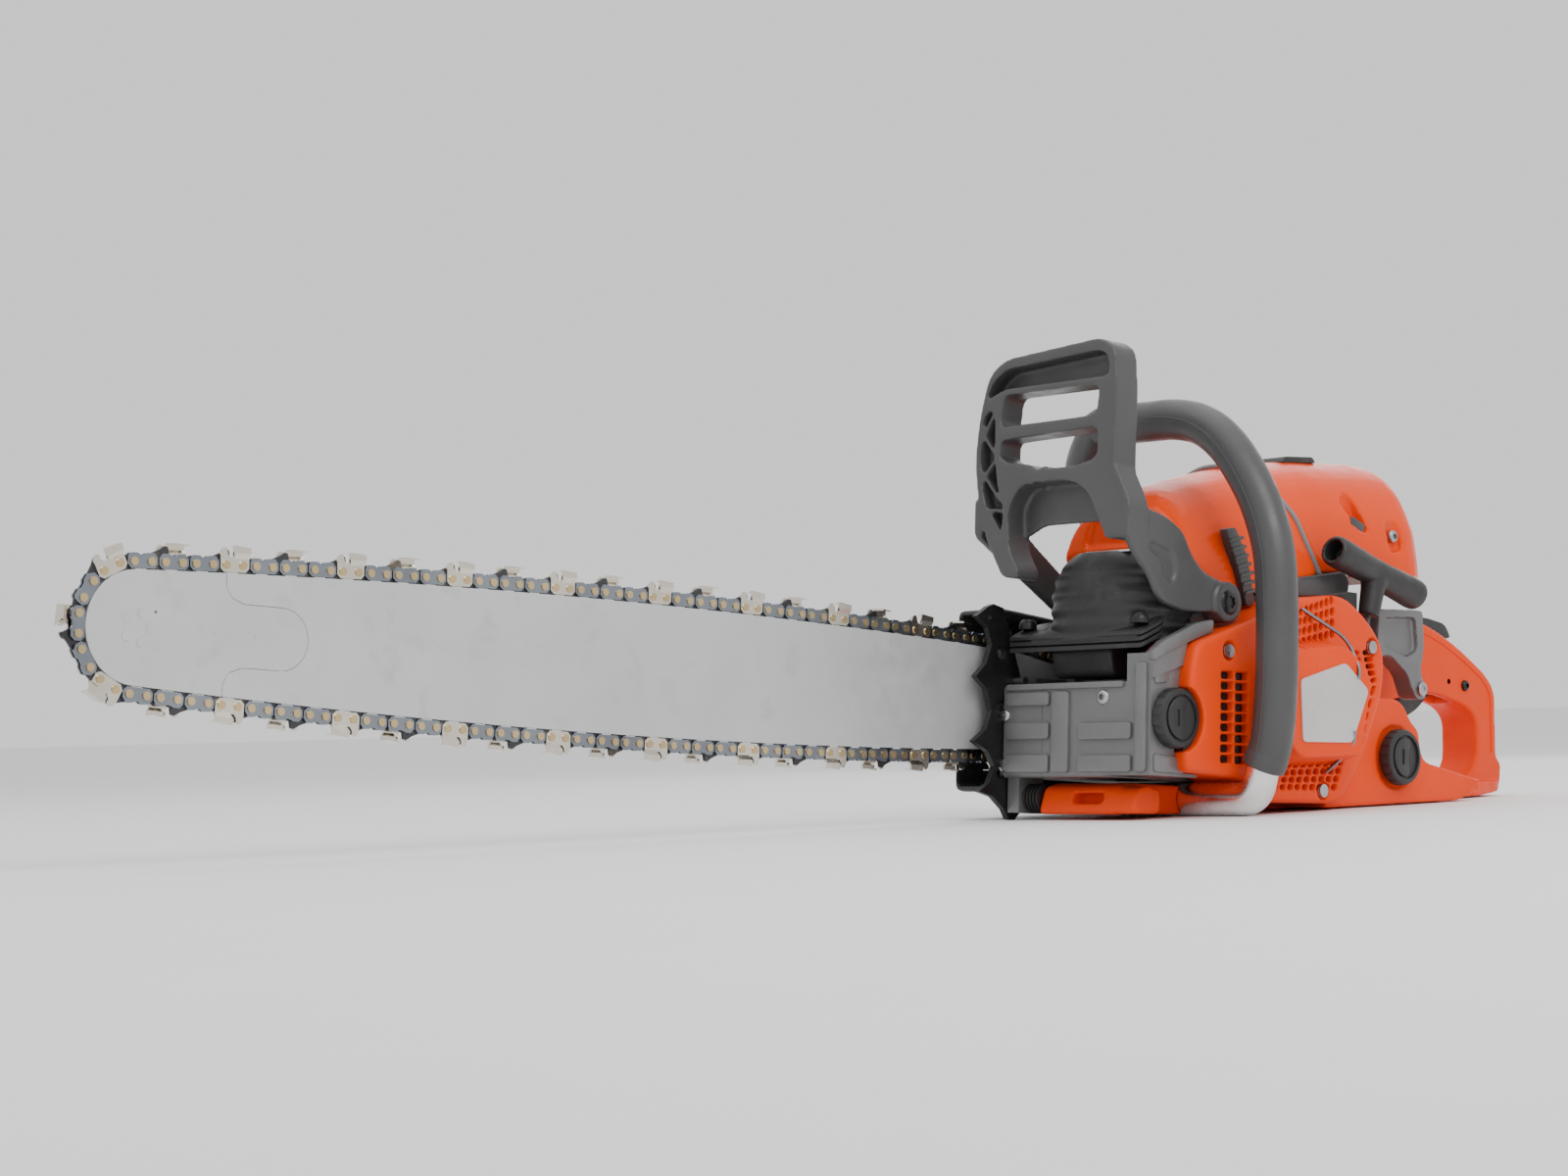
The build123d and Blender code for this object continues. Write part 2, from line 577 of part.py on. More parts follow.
with BuildPart() as connecting_rod:
    cross_disc(12, -4, 4, (0, THROW))
    cross_disc(9, -4, 4, (0, THROW + ROD_LENGTH))
    side_slab([(-5, THROW), (5, THROW), (4, THROW + ROD_LENGTH), (-4, THROW + ROD_LENGTH)], -3, 3)
    cross_disc(7 + FIT, -5, 5, (0, THROW), Mode.SUBTRACT)
    cross_disc(5 + FIT, -5, 5, (0, THROW + ROD_LENGTH), Mode.SUBTRACT)
finish(connecting_rod, "connecting_rod")

with BuildPart() as rod_pins:
    cross_disc(7, -8.4, 8.4, (0, THROW))
    cross_disc(5, -20, 20, (0, THROW + ROD_LENGTH))
finish(rod_pins, "rod_pins")

PIN_Z = THROW + ROD_LENGTH
with BuildPart() as piston:
    upright(PISTON_RADIUS, PIN_Z - 11, PIN_Z + 17, (0, 0))
    upright(PISTON_RADIUS - 3, PIN_Z - 12, PIN_Z + 12, (0, 0), Mode.SUBTRACT)
    for sign in (-1, 1):
        boss = sorted((sign * 6, sign * 23))
        cross_disc(8, *boss, (0, PIN_Z))
    cross_disc(5.05, -30, 30, (0, PIN_Z), Mode.SUBTRACT)
finish(piston, "piston")

with BuildPart() as cylinder:
    upright(29.5, 37.6, 112, (0, 0))
    for i in range(12):
        with Locations((3, 0, 42 + 5.6 * i)):
            Box(82, 78, 2.2)
    with Locations((3, 0, 112)):
        Box(70, 70, 8)
    block((-62, -15, 52), (-25, 15, 84))
    block((25, -14, 48), (56, 14, 76))
    upright(BORE_RADIUS, 30, PIN_Z + 20, (0, 0), Mode.SUBTRACT)
    upright(7.05, 90, 130, (0, 0), Mode.SUBTRACT)
    lying(10, -70, -20, (0, 68), Mode.SUBTRACT)
    lying(9, 20, 70, (0, 62), Mode.SUBTRACT)
finish(cylinder, "cylinder")

with BuildPart() as spark_plug:
    upright(7, 101, 116.2, (0, 0))
    upright(10.4, 116.2, 123, (0, 0))
    upright(5.5, 123, 146, (0, 0))
finish(spark_plug, "spark_plug")

with BuildPart() as flywheel:
    cross_disc(FLYWHEEL_RADIUS, -60, -51)
    cross_disc(14, -72, -51)
    with BuildSketch(side_plane(-60)):
        with PolarLocations(0, 14):
            with Locations((32, 0)):
                Rectangle(26, 2.4)
    extrude(amount=10)
    cross_disc(SHAFT_RADIUS + 0.02, -80, -40, mode=Mode.SUBTRACT)
finish(flywheel, "flywheel")

with BuildPart() as ignition_coil:
    block((22, -66, 50), (46, -48, 64))
    cross_disc(3, -50, -48, (34, 57), Mode.SUBTRACT)
finish(ignition_coil, "ignition_coil")

with BuildPart() as starter_pulley:
    cross_disc(PULLEY_RADIUS, -87.5, -77)
    cross_ring(PULLEY_RADIUS - 4, PULLEY_RADIUS + 1, -84, -80, mode=Mode.SUBTRACT)
    cross_disc(6 + FIT, -90, -70, mode=Mode.SUBTRACT)
finish(starter_pulley, "starter_pulley")

with BuildPart() as recoil_spring:
    cross_ring(8, 21, -97, -90)
finish(recoil_spring, "recoil_spring")

# ---------------------------------------------------------------- starter side
VENT_ROWS = 8
VENT_PITCH = 7.3
with BuildPart() as starter_cover:
    side_slab(COVER_OUTLINE, -92, CASE_LEFT_Y - 3.4, 3)
    with BuildSketch(side_plane(-91)):
        face_from(DOME_OUTLINE, 5)
    extrude(amount=21, taper=24)
    side_slab(COVER_INNER, -89, CASE_LEFT_Y, mode=Mode.SUBTRACT)
    with BuildSketch(side_plane(-88)):
        face_from([(x * 0.9 + 2, z * 0.9) for x, z in DOME_OUTLINE], 5)
    extrude(amount=21, taper=24, mode=Mode.SUBTRACT)
    cross_disc(6, -110, -76)
    cross_disc(CAP_RADIUS + 2.5, -100, -40, OIL_CAP, Mode.SUBTRACT)
    with BuildSketch(side_plane(-80)):
        with Locations((-58, -9)):
            with GridLocations(13.5, VENT_PITCH, 2, VENT_ROWS):
                Rectangle(10.5, 4.6)
    extrude(amount=20, mode=Mode.SUBTRACT)
    with BuildSketch(Plane(origin=(PULL_FROM[0], PULL_Y, PULL_FROM[1]),
                           z_dir=(PULL_GRIP[0] - PULL_FROM[0], 0, PULL_GRIP[1] - PULL_FROM[1]))):
        Circle(2.8)
    extrude(amount=14, both=True, mode=Mode.SUBTRACT)
    for place in ((-60, 31), (42, -56), (96, 44)):
        cross_disc(4.6, -100, -80, place, Mode.SUBTRACT)
finish(starter_cover, "starter_cover")

with BuildPart() as starter_badge:
    side_slab(BADGE_OUTLINE, -112.9, -112.1, 2)
finish(starter_badge, "starter_badge")

with BuildPart() as body_screws:
    for place in ((-60, 31), (42, -56), (96, 44)):
        cross_disc(4.4, -92.5, -80, place)
    cross_disc(5, -64, -60.2, (196, 22))
    cross_disc(3, -60.3, -46, (196, 22))
    for place in ((-115, 12), (-113, -38)):
        cross_disc(4.6, 49.6, 53, place)
        cross_disc(2.5, 36, 50, place)
finish(body_screws, "body_screws")

pull_axis = Vector(PULL_GRIP[0] - PULL_FROM[0], 0, PULL_GRIP[1] - PULL_FROM[1]).normalized()
bar_axis = pull_axis.cross(Vector(0, -1, 0))
grip_centre = Vector(PULL_GRIP[0], PULL_Y, PULL_GRIP[1])
with BuildPart() as pull_handle:
    with BuildSketch(Plane(origin=grip_centre, z_dir=bar_axis)):
        Circle(11)
    extrude(amount=50, both=True)
    with BuildSketch(Plane(origin=grip_centre - pull_axis * 31, z_dir=pull_axis)):
        Circle(7.5)
    extrude(amount=31)
    with BuildSketch(Plane(origin=grip_centre - bar_axis * 50, z_dir=bar_axis)):
        Circle(8)
    extrude(amount=16, mode=Mode.SUBTRACT)
    with BuildSketch(Plane(origin=grip_centre + bar_axis * 50, z_dir=-bar_axis)):
        Circle(8)
    extrude(amount=16, mode=Mode.SUBTRACT)
    with BuildSketch(Plane(origin=grip_centre - pull_axis * 31, z_dir=pull_axis)):
        Circle(ROPE_RADIUS)
    extrude(amount=24, mode=Mode.SUBTRACT)
finish(pull_handle, "pull_handle")

with BuildPart() as starter_rope:
    with BuildSketch(Plane(origin=grip_centre - pull_axis * 8, z_dir=-pull_axis)):
        Circle(ROPE_RADIUS - 0.02)
    extrude(amount=40)
finish(starter_rope, "starter_rope")

# ---------------------------------------------------------------- clutch side
with BuildPart() as clutch_hub:
    cross_disc(34.5, 70, 84)
    with BuildSketch(side_plane(85)):
        with PolarLocations(0, 3):
            with Locations((24, 0)):
                Rectangle(24, 3)
    extrude(amount=16, mode=Mode.SUBTRACT)
    cross_disc(SHAFT_RADIUS + 0.02, 60, 90, mode=Mode.SUBTRACT)
finish(clutch_hub, "clutch_hub")

with BuildPart() as clutch_drum:
    cross_disc(DRUM_RADIUS, 66, 86)
    cross_disc(DRUM_RADIUS - 2, 68, 87, mode=Mode.SUBTRACT)
    cross_disc(SHAFT_RADIUS + FIT, 60, 90, mode=Mode.SUBTRACT)
finish(clutch_drum, "clutch_drum")

with BuildPart() as rim_sprocket:
    cross_disc(16.8, 54.6, 57.1)
    cross_disc(16.8, 62.9, 65.8)
    cross_disc(11, 54.6, 65.8)
    cross_disc(SHAFT_RADIUS + FIT, 50, 70, mode=Mode.SUBTRACT)
finish(rim_sprocket, "rim_sprocket")

with BuildPart() as oil_pump:
    cross_ring(9, 17, CASE_RIGHT_Y + 0.1, 53)
    lying(3, -58, -12, (49, -12))
finish(oil_pump, "oil_pump")

with BuildPart() as brake_band:
    cross_ring(DRUM_RADIUS + 0.5, DRUM_RADIUS + 2, 69, 83)
    block((36, 68, -3), (44, 84, 3), Mode.SUBTRACT)
finish(brake_band, "brake_band")

with BuildPart() as clutch_cover:
    side_slab(CLUTCH_COVER_OUTLINE, 54.8, 98, 4)
    side_slab(CLUTCH_COVER_INNER, 50, 94.5, mode=Mode.SUBTRACT)
    for x in STUD_X:
        cross_disc(9, BAR_Y + 2.6, 95, (x, 0))
        cross_disc(STUD_RADIUS + 0.05, 50, 99, (x, 0), Mode.SUBTRACT)
    with BuildSketch(side_plane(99)):
        with PolarLocations(0, 9):
            with Locations((26, 0)):
                Rectangle(20, 4)
    extrude(amount=6, mode=Mode.SUBTRACT)
finish(clutch_cover, "clutch_cover")

with BuildPart() as bar_studs:
    for x in STUD_X:
        cross_disc(STUD_RADIUS, 36, 104, (x, 0))
finish(bar_studs, "bar_studs")

with BuildPart() as bar_nuts:
    with BuildSketch(side_plane(105)):
        with Locations(*[(x, 0) for x in STUD_X]):
            RegularPolygon(7.2, 6)
            Circle(STUD_RADIUS + 0.05, mode=Mode.SUBTRACT)
    extrude(amount=6.8)
finish(bar_nuts, "bar_nuts")

with BuildPart() as tension_screw:
    lying(2.5, -112, -62, (72, -22))
    block((-96, 62.6, -25), (-90, 75, -13))
finish(tension_screw, "tension_screw")

with BuildPart() as bumper_spike:
    side_slab(SPIKE_OUTLINE, 45.0, 49.5)
    for place, radius in (((-141, 53), 2.0), ((-129, 30), 4.2), ((-128, -6), 4.2), ((-128, -50), 4.0)):
        cross_disc(radius, 40, 55, place, Mode.SUBTRACT)
    for place in ((-115, 12), (-113, -38)):
        cross_disc(2.55, 40, 55, place, Mode.SUBTRACT)
    for place in ((-115.5, -63), (-115, -73)):
        cross_disc(1.6, 40, 55, place, Mode.SUBTRACT)
finish(bumper_spike, "bumper_spike")

# ---------------------------------------------------------------- muffler
MUFFLER_SCREWS = [(-120, -66), (-116, 34)]
FLANGE_SIDE = [(-127, 29), (-124, 39), (-78, 59), (-74, 51)]
with BuildPart() as muffler_flange:
    side_slab(FLANGE_SIDE, -75, 41)
    with BuildSketch(Plane.XY):
        face_from([(-130, -75), (-106, -75), (-92, -60), (-70, -56), (-70, 20), (-98, 22),
            (-106, 41), (-130, 41)])
    extrude(amount=90, mode=Mode.INTERSECT)
    for place in MUFFLER_SCREWS:
        upright(3.3, 20, 60, place, Mode.SUBTRACT)
finish(muffler_flange, "muffler_flange")

with BuildPart() as muffler_shell:
    side_slab([(-128, 40), (-126, 76), (-112, 95), (-76, 95), (-66, 84), (-66, 56), (-78, 59.3),
        (-124, 39.3)], -70, 20)
    front_slab([(-70, 60), (-64, 86), (-50, 96), (4, 96), (16, 88), (20, 70), (16, 38), (4, 30),
        (-52, 30),
                (-66, 44)], -130, -60, mode=Mode.INTERSECT)
    with BuildSketch(Plane.XY):
        face_from([(-130, -44), (-104, -70), (-60, -70), (-60, 20), (-118, 20), (-130, 8)])
    extrude(amount=100, mode=Mode.INTERSECT)
    side_slab([(-116, 31.3), (-74, 50), (-68, 40), (-70, 14), (-112, 13)], -38, 14)
finish(muffler_shell, "muffler_shell")

with BuildPart() as muffler_screws:
    for place in MUFFLER_SCREWS:
        upright(3.2, 29, 46, place)
        upright(6, 46, 54, place)
finish(muffler_screws, "muffler_screws")

# ---------------------------------------------------------------- hand guard
with BuildPart() as hand_guard:
    front_slab(GUARD_OUTLINE, -150, -130, 3)
    front_slab(GUARD_ARCH, -160, -120, mode=Mode.SUBTRACT)
    front_slab(UPPER_WINDOW, -160, -120, 4, Mode.SUBTRACT)
    front_slab(LOWER_WINDOW, -160, -120, mode=Mode.SUBTRACT)
    side_slab(GUARD_ARM, -81, -75)
    front_slab([(-81, 98), (-81, 119), (-67, 150), (-60, 150), (-60, 98)], -150, -130)
    side_slab(BRAKE_ARM, 46, 53)
    cross_disc(13.5, -81, -70, GUARD_PIVOT)
    cross_disc(13.5, 46, 53, GUARD_PIVOT)
    for low, high in ((-90, -60), (40, 60)):
        cross_disc(STUD_RADIUS + FIT, low, high, GUARD_PIVOT, Mode.SUBTRACT)
finish(hand_guard, "hand_guard")

with BuildPart() as guard_pivot_bolts:
    cross_disc(STUD_RADIUS, -84, -54, GUARD_PIVOT)
    cross_disc(9, -85, -81.4, GUARD_PIVOT)
    cross_disc(STUD_RADIUS, 37, 54.4, GUARD_PIVOT)
    cross_disc(7, 53.3, 54.6, GUARD_PIVOT)
finish(guard_pivot_bolts, "guard_pivot_bolts")

# ---------------------------------------------------------------- front handle
HANDLE_X = -46.0
TUBE_RADIUS = 11.0
GRIP_RADIUS = 13.75
TUBE_Z = ground(HANDLE_X) + TUBE_RADIUS / cos(radians(STAND_TILT))
HOOP = [
    (84, 70, 44), (34, 70, 84), (-34, 62, 160), (HANDLE_X, 34, 190), (HANDLE_X, -44, 190),
    (HANDLE_X, -99, 142),
    (HANDLE_X, -119, 78), (HANDLE_X, -119, -8), (HANDLE_X, -104, TUBE_Z), (HANDLE_X, 12, TUBE_Z),
]
HOOP_RADII = [60, 40, 26, 55, 60, 60, 55, 20]

with BuildPart() as front_handle_tube:
    with BuildLine() as tube_line:
        FilletPolyline(*HOOP, radius=HOOP_RADII)
    with BuildSketch(Plane(origin=tube_line.line @ 0, z_dir=tube_line.line % 0)):
        Circle(TUBE_RADIUS)
    sweep()
finish(front_handle_tube, "front_handle_tube")

with BuildPart() as handle_grip:
    leg = Vector(*HOOP[8]) - Vector(*HOOP[7])
    grip_end = Vector(*HOOP[7]) + leg * 0.62
    grip_start = Vector(*HOOP[1]) * 0.5 + Vector(*HOOP[2]) * 0.5
    with BuildLine() as grip_line:
        FilletPolyline(grip_start, *HOOP[2:8], grip_end, radius=HOOP_RADII[1:7])
    with BuildSketch(Plane(origin=grip_line.line @ 0, z_dir=grip_line.line % 0)):
        Circle(GRIP_RADIUS)
        Circle(TUBE_RADIUS + 0.05, mode=Mode.SUBTRACT)
    sweep()
finish(handle_grip, "handle_grip")

with BuildPart() as handle_bracket:
    side_slab(BRACKET_OUTLINE, -45, 20)
    side_slab([(-120, -77), (-114, -59), (-104, -57), (-92, -60), (-92, -76)], -60, -44)
    cross_disc(TUBE_RADIUS + 0.05, -60, 12.2, (HANDLE_X, TUBE_Z), Mode.SUBTRACT)
finish(handle_bracket, "handle_bracket")

with BuildPart() as av_boot:
    for i in range(5):
        cross_disc(9.5, 20.2 + 2.8 * i, 22.0 + 2.8 * i, (-110, -66))
    cross_disc(7.5, 20.1, 33.9, (-110, -66))
finish(av_boot, "av_boot")

# ---------------------------------------------------------------- tank, rear handle and controls
HANDLE_LEFT = -24.0
HANDLE_RIGHT = 8.0
with BuildPart() as tank_and_handle:
    side_slab(TANK_OUTLINE, HANDLE_LEFT, HANDLE_RIGHT)
    side_slab([(62, ground(62) + 0.3), (62, 6), (70, 11), (150, 12), (163, -4), (171, -8),
        (175, -30), (250, -41),
               (227, -55.8)], -78, 58, 2)
    side_slab([(174, -34), (250, -42), (330, -37), (354, -38), (352, -44), (312, -49.5),
        (227, -55.8), (180, -58)],
              -44, 30)
    side_slab([(60, 16), (60, 62), (96, 62), (96, 0), (64, 0)], 58, 84)
    side_slab([(62, 0), (62, 12), (96, 12), (96, 0)], 50, 60)
    side_slab([(-30, ground(-30)), (-30, ground(-30) + 9), (62, ground(62) + 9), (212, ground(212) + 9),
               (212, ground(212))], -41, 45)
    cover_space(0.6, CASE_LEFT_Y + 2.6)
    block((68, -42, -56), (158, 52, 4), Mode.SUBTRACT)
    block((118, -72, -52), (165, -40, -8), Mode.SUBTRACT)
    cross_disc(CAP_NECK_RADIUS + 0.3, -80, -68, FUEL_CAP, Mode.SUBTRACT)
    block((228, -16, 0), (300, 0, 50), Mode.SUBTRACT)
    block((236, -16, 52), (306, 0, 90), Mode.SUBTRACT)
    for place in (TRIGGER_PIVOT, LOCKOUT_PIVOT):
        cross_disc(2.05, -30, 12, place, Mode.SUBTRACT)
    with BuildSketch(Plane(origin=HOOP[0], z_dir=Vector(*HOOP[1]) - Vector(*HOOP[0]))):
        Circle(GRIP_RADIUS + 0.3)
    extrude(amount=60, mode=Mode.SUBTRACT)
finish(tank_and_handle, "tank_and_handle")

with BuildPart() as throttle_trigger:
    side_slab([(238, 10), (236, 26), (246, 40), (290, 41), (292, 30), (276, 24), (262, 12),
        (248, 6)], -14, -2, 2)
    cross_disc(2.05 + FIT, -20, 5, TRIGGER_PIVOT, Mode.SUBTRACT)
finish(throttle_trigger, "throttle_trigger")

with BuildPart() as throttle_lockout:
    side_slab([(240, 55), (241, 66), (262, 82), (296, 78), (303, 68), (290, 66), (254, 60),
        (252, 53)], -14, -2, 1.5)
    cross_disc(2.05 + FIT, -20, 5, LOCKOUT_PIVOT, Mode.SUBTRACT)
finish(throttle_lockout, "throttle_lockout")

with BuildPart() as control_pins:
    for place in (TRIGGER_PIVOT, LOCKOUT_PIVOT):
        cross_disc(2.0, HANDLE_LEFT, HANDLE_RIGHT, place)
finish(control_pins, "control_pins")


def flip_cap(centre, face_y):
    """A screw cap with a folding wing and a neck that plugs the tank."""
    cross_disc(CAP_RADIUS, face_y - 9, face_y - 0.3, centre)
    cross_disc(CAP_NECK_RADIUS, face_y - 1, face_y + 9, centre)
    side_slab([(centre[0] - 2, centre[1] - 15), (centre[0] - 2, centre[1] + 15),
        (centre[0] + 2, centre[1] + 15),
               (centre[0] + 2, centre[1] - 15)], face_y - 11, face_y - 8, 1)


with BuildPart() as oil_cap:
    flip_cap(OIL_CAP, TANK_LEFT_Y)
finish(oil_cap, "oil_cap")

with BuildPart() as fuel_cap:
    flip_cap(FUEL_CAP, -78.0)
finish(fuel_cap, "fuel_cap")

with BuildPart() as av_bracket:
    side_slab(AV_BRACKET_OUTLINE, -60, -46, 3)
    cross_disc(3.05, -70, -40, (196, 22), Mode.SUBTRACT)
finish(av_bracket, "av_bracket")

# ---------------------------------------------------------------- top covers and intake
with BuildPart() as cylinder_room:
    side_slab([(-66, 60), (-64, 126), (-48, 137), (-22, 148), (34, 162), (80, 170), (80, 60)], -62, 42)
    front_slab(COVER_ROOM, -80, 80, mode=Mode.INTERSECT)

with BuildPart() as filter_room:
    side_slab([(40, 90), (40, 168), (95, 173), (164, 178), (193, 172), (204, 156), (206, 128),
        (199, 90)], -62, 42)
    front_slab(COVER_ROOM, 30, 230, mode=Mode.INTERSECT)

with BuildPart() as cylinder_cover:
    side_slab(CYLINDER_COVER_SIDE, -64, 44)
    front_slab(COVER_FRONT, -80, 80, 6, Mode.INTERSECT)
    add(cylinder_room.part, mode=Mode.SUBTRACT)
    block((-80, 33, 50), (-30, 60, 92), Mode.SUBTRACT)
    block((-66, -70, 60), (-34, -50, 78), Mode.SUBTRACT)
    upright(6.5, 100, 160, DECOMP, Mode.SUBTRACT)
finish(cylinder_cover, "cylinder_cover")

with BuildPart() as filter_cover:
    side_slab(FILTER_COVER_SIDE, -64, 44)
    front_slab(COVER_FRONT, 40, 230, 6, Mode.INTERSECT)
    add(filter_room.part, mode=Mode.SUBTRACT)
finish(filter_cover, "filter_cover")

with BuildPart() as cover_latch:
    side_slab(LATCH_OUTLINE, -69, -64.3, 1.5)
finish(cover_latch, "cover_latch")

with BuildPart() as intake_housing:
    block((58, -41, 13), (148, 44, 88))
    block((62, -37, 16), (144, 40, 95), Mode.SUBTRACT)
    block((50, -12, 50), (70, 12, 74), Mode.SUBTRACT)
    side_slab([(44, 79.8), (98, 82), (100, 92), (72, 92), (58, 88), (44, 83.6)], -66, -39)
finish(intake_housing, "intake_housing")

with BuildPart() as carburettor:
    block((66, -18, 44), (104, 18, 80))
    lying(9, 56.3, 120, (0, 62))
    lying(7, 50, 130, (0, 62), Mode.SUBTRACT)
finish(carburettor, "carburettor")

with BuildPart() as air_filter:
    with Locations((128, -6, 128)):
        Box(84, 64, 56)
        Box(76, 56, 60, mode=Mode.SUBTRACT)
    block((90, -34, 96), (166, 22, 100.5))
finish(air_filter, "air_filter")

with BuildPart() as stop_lever:
    cross_disc(7, 44.4, 48, (136, 60))
    side_slab([(132, 60), (140, 60), (152, 78), (145, 82)], 45, 50)
finish(stop_lever, "stop_lever")

with BuildPart() as decompression_button:
    upright(6, 134, 147, DECOMP)
    upright(3, 121, 135, DECOMP)
finish(decompression_button, "decompression_button")
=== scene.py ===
"""A petrol chainsaw's visual model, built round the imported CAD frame.

Shapes are drawn in the saw's design frame, in millimetres: the crankshaft axis is the Y axis, the bar
points along -X and +Z is up. STAND takes them to the row frame, in metres.
"""

import json
from math import cos, pi, radians, sin

import bmesh
import bpy
from mathutils import Matrix, Vector

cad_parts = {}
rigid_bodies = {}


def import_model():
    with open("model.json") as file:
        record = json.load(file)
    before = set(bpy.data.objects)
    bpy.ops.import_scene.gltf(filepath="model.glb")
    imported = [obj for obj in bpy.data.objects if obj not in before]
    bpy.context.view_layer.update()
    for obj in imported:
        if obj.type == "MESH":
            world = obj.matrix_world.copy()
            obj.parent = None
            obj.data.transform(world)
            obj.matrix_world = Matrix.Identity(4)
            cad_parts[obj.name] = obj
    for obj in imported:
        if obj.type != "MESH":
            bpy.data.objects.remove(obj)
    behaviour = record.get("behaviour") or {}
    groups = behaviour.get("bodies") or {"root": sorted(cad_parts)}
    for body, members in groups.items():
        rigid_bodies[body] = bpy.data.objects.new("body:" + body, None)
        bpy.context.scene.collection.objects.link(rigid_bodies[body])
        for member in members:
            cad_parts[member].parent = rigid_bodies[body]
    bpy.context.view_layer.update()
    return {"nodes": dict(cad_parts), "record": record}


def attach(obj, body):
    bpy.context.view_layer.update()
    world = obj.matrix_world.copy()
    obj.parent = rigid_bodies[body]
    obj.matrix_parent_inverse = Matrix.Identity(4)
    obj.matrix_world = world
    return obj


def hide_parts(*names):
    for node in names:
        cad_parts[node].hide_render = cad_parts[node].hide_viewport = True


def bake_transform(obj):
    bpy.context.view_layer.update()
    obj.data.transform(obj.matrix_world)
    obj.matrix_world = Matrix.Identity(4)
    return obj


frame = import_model()

for stray in [o for o in bpy.data.objects if o.name in ("Cube", "Light", "Camera")]:
    bpy.data.objects.remove(stray)

STAND_TILT = radians(4.0)
CRANK_HEIGHT = 0.0724
STAND = (
    Matrix.Translation((0, 0, CRANK_HEIGHT))
    @ Matrix.Rotation(STAND_TILT, 4, "Y")
    @ Matrix.Scale(0.001, 4)
)
TURN = Matrix.Rotation(STAND_TILT, 3, "Y")
scene = bpy.context.scene

# ------------------------------------------------------------------ camera, floor and light
CAMERA_PLACE = (-1657.22, -1353.48, -121.04)
CAMERA_RIGHT = (0.72376059, -0.68963255, 0.02403235)
CAMERA_DOWN = (0.08080193, 0.05011042, -0.99546974)
CAMERA_FORWARD = (0.68530406, 0.72242363, 0.09199159)
FOCAL_LENGTH = 71.37
SENSOR_WIDTH = 36.0

camera_data = bpy.data.cameras.new("camera")
camera_data.lens = FOCAL_LENGTH
camera_data.sensor_width = SENSOR_WIDTH
camera = bpy.data.objects.new("camera", camera_data)
scene.collection.objects.link(camera)
axes = Matrix((
    TURN @ Vector(CAMERA_RIGHT), -(TURN @ Vector(CAMERA_DOWN)), -(TURN @ Vector(CAMERA_FORWARD)),
)).transposed()
camera.matrix_world = Matrix.Translation(STAND @ Vector(CAMERA_PLACE)) @ axes.to_4x4()
scene.camera = camera


def soft_light(name, place, target, size, power):
    """A large rectangular lamp aimed at a point."""
    data = bpy.data.lights.new(name, "AREA")
    data.shape = "RECTANGLE"
    data.size, data.size_y = size
    data.energy = power
    lamp = bpy.data.objects.new(name, data)
    scene.collection.objects.link(lamp)
    lamp.location = place
    lamp.rotation_euler = (Vector(target) - Vector(place)).to_track_quat("-Z", "Y").to_euler()


soft_light("key", (-0.6, -1.5, 1.5), (-0.1, 0, 0.1), (1.4, 1.0), 19)
soft_light("overhead", (-0.1, 0.2, 1.9), (-0.1, 0, 0), (2.4, 1.6), 14)
soft_light("rear_fill", (1.6, 0.9, 1.0), (0.1, 0, 0.1), (1.4, 1.2), 6)
world = bpy.data.worlds.new("studio")
world.use_nodes = True
world.node_tree.nodes["Background"].inputs["Color"].default_value = (1, 1, 1, 1)
world.node_tree.nodes["Background"].inputs["Strength"].default_value = 1.0
scene.world = world


# ------------------------------------------------------------------ materials
MARK_SCALE = 45.0


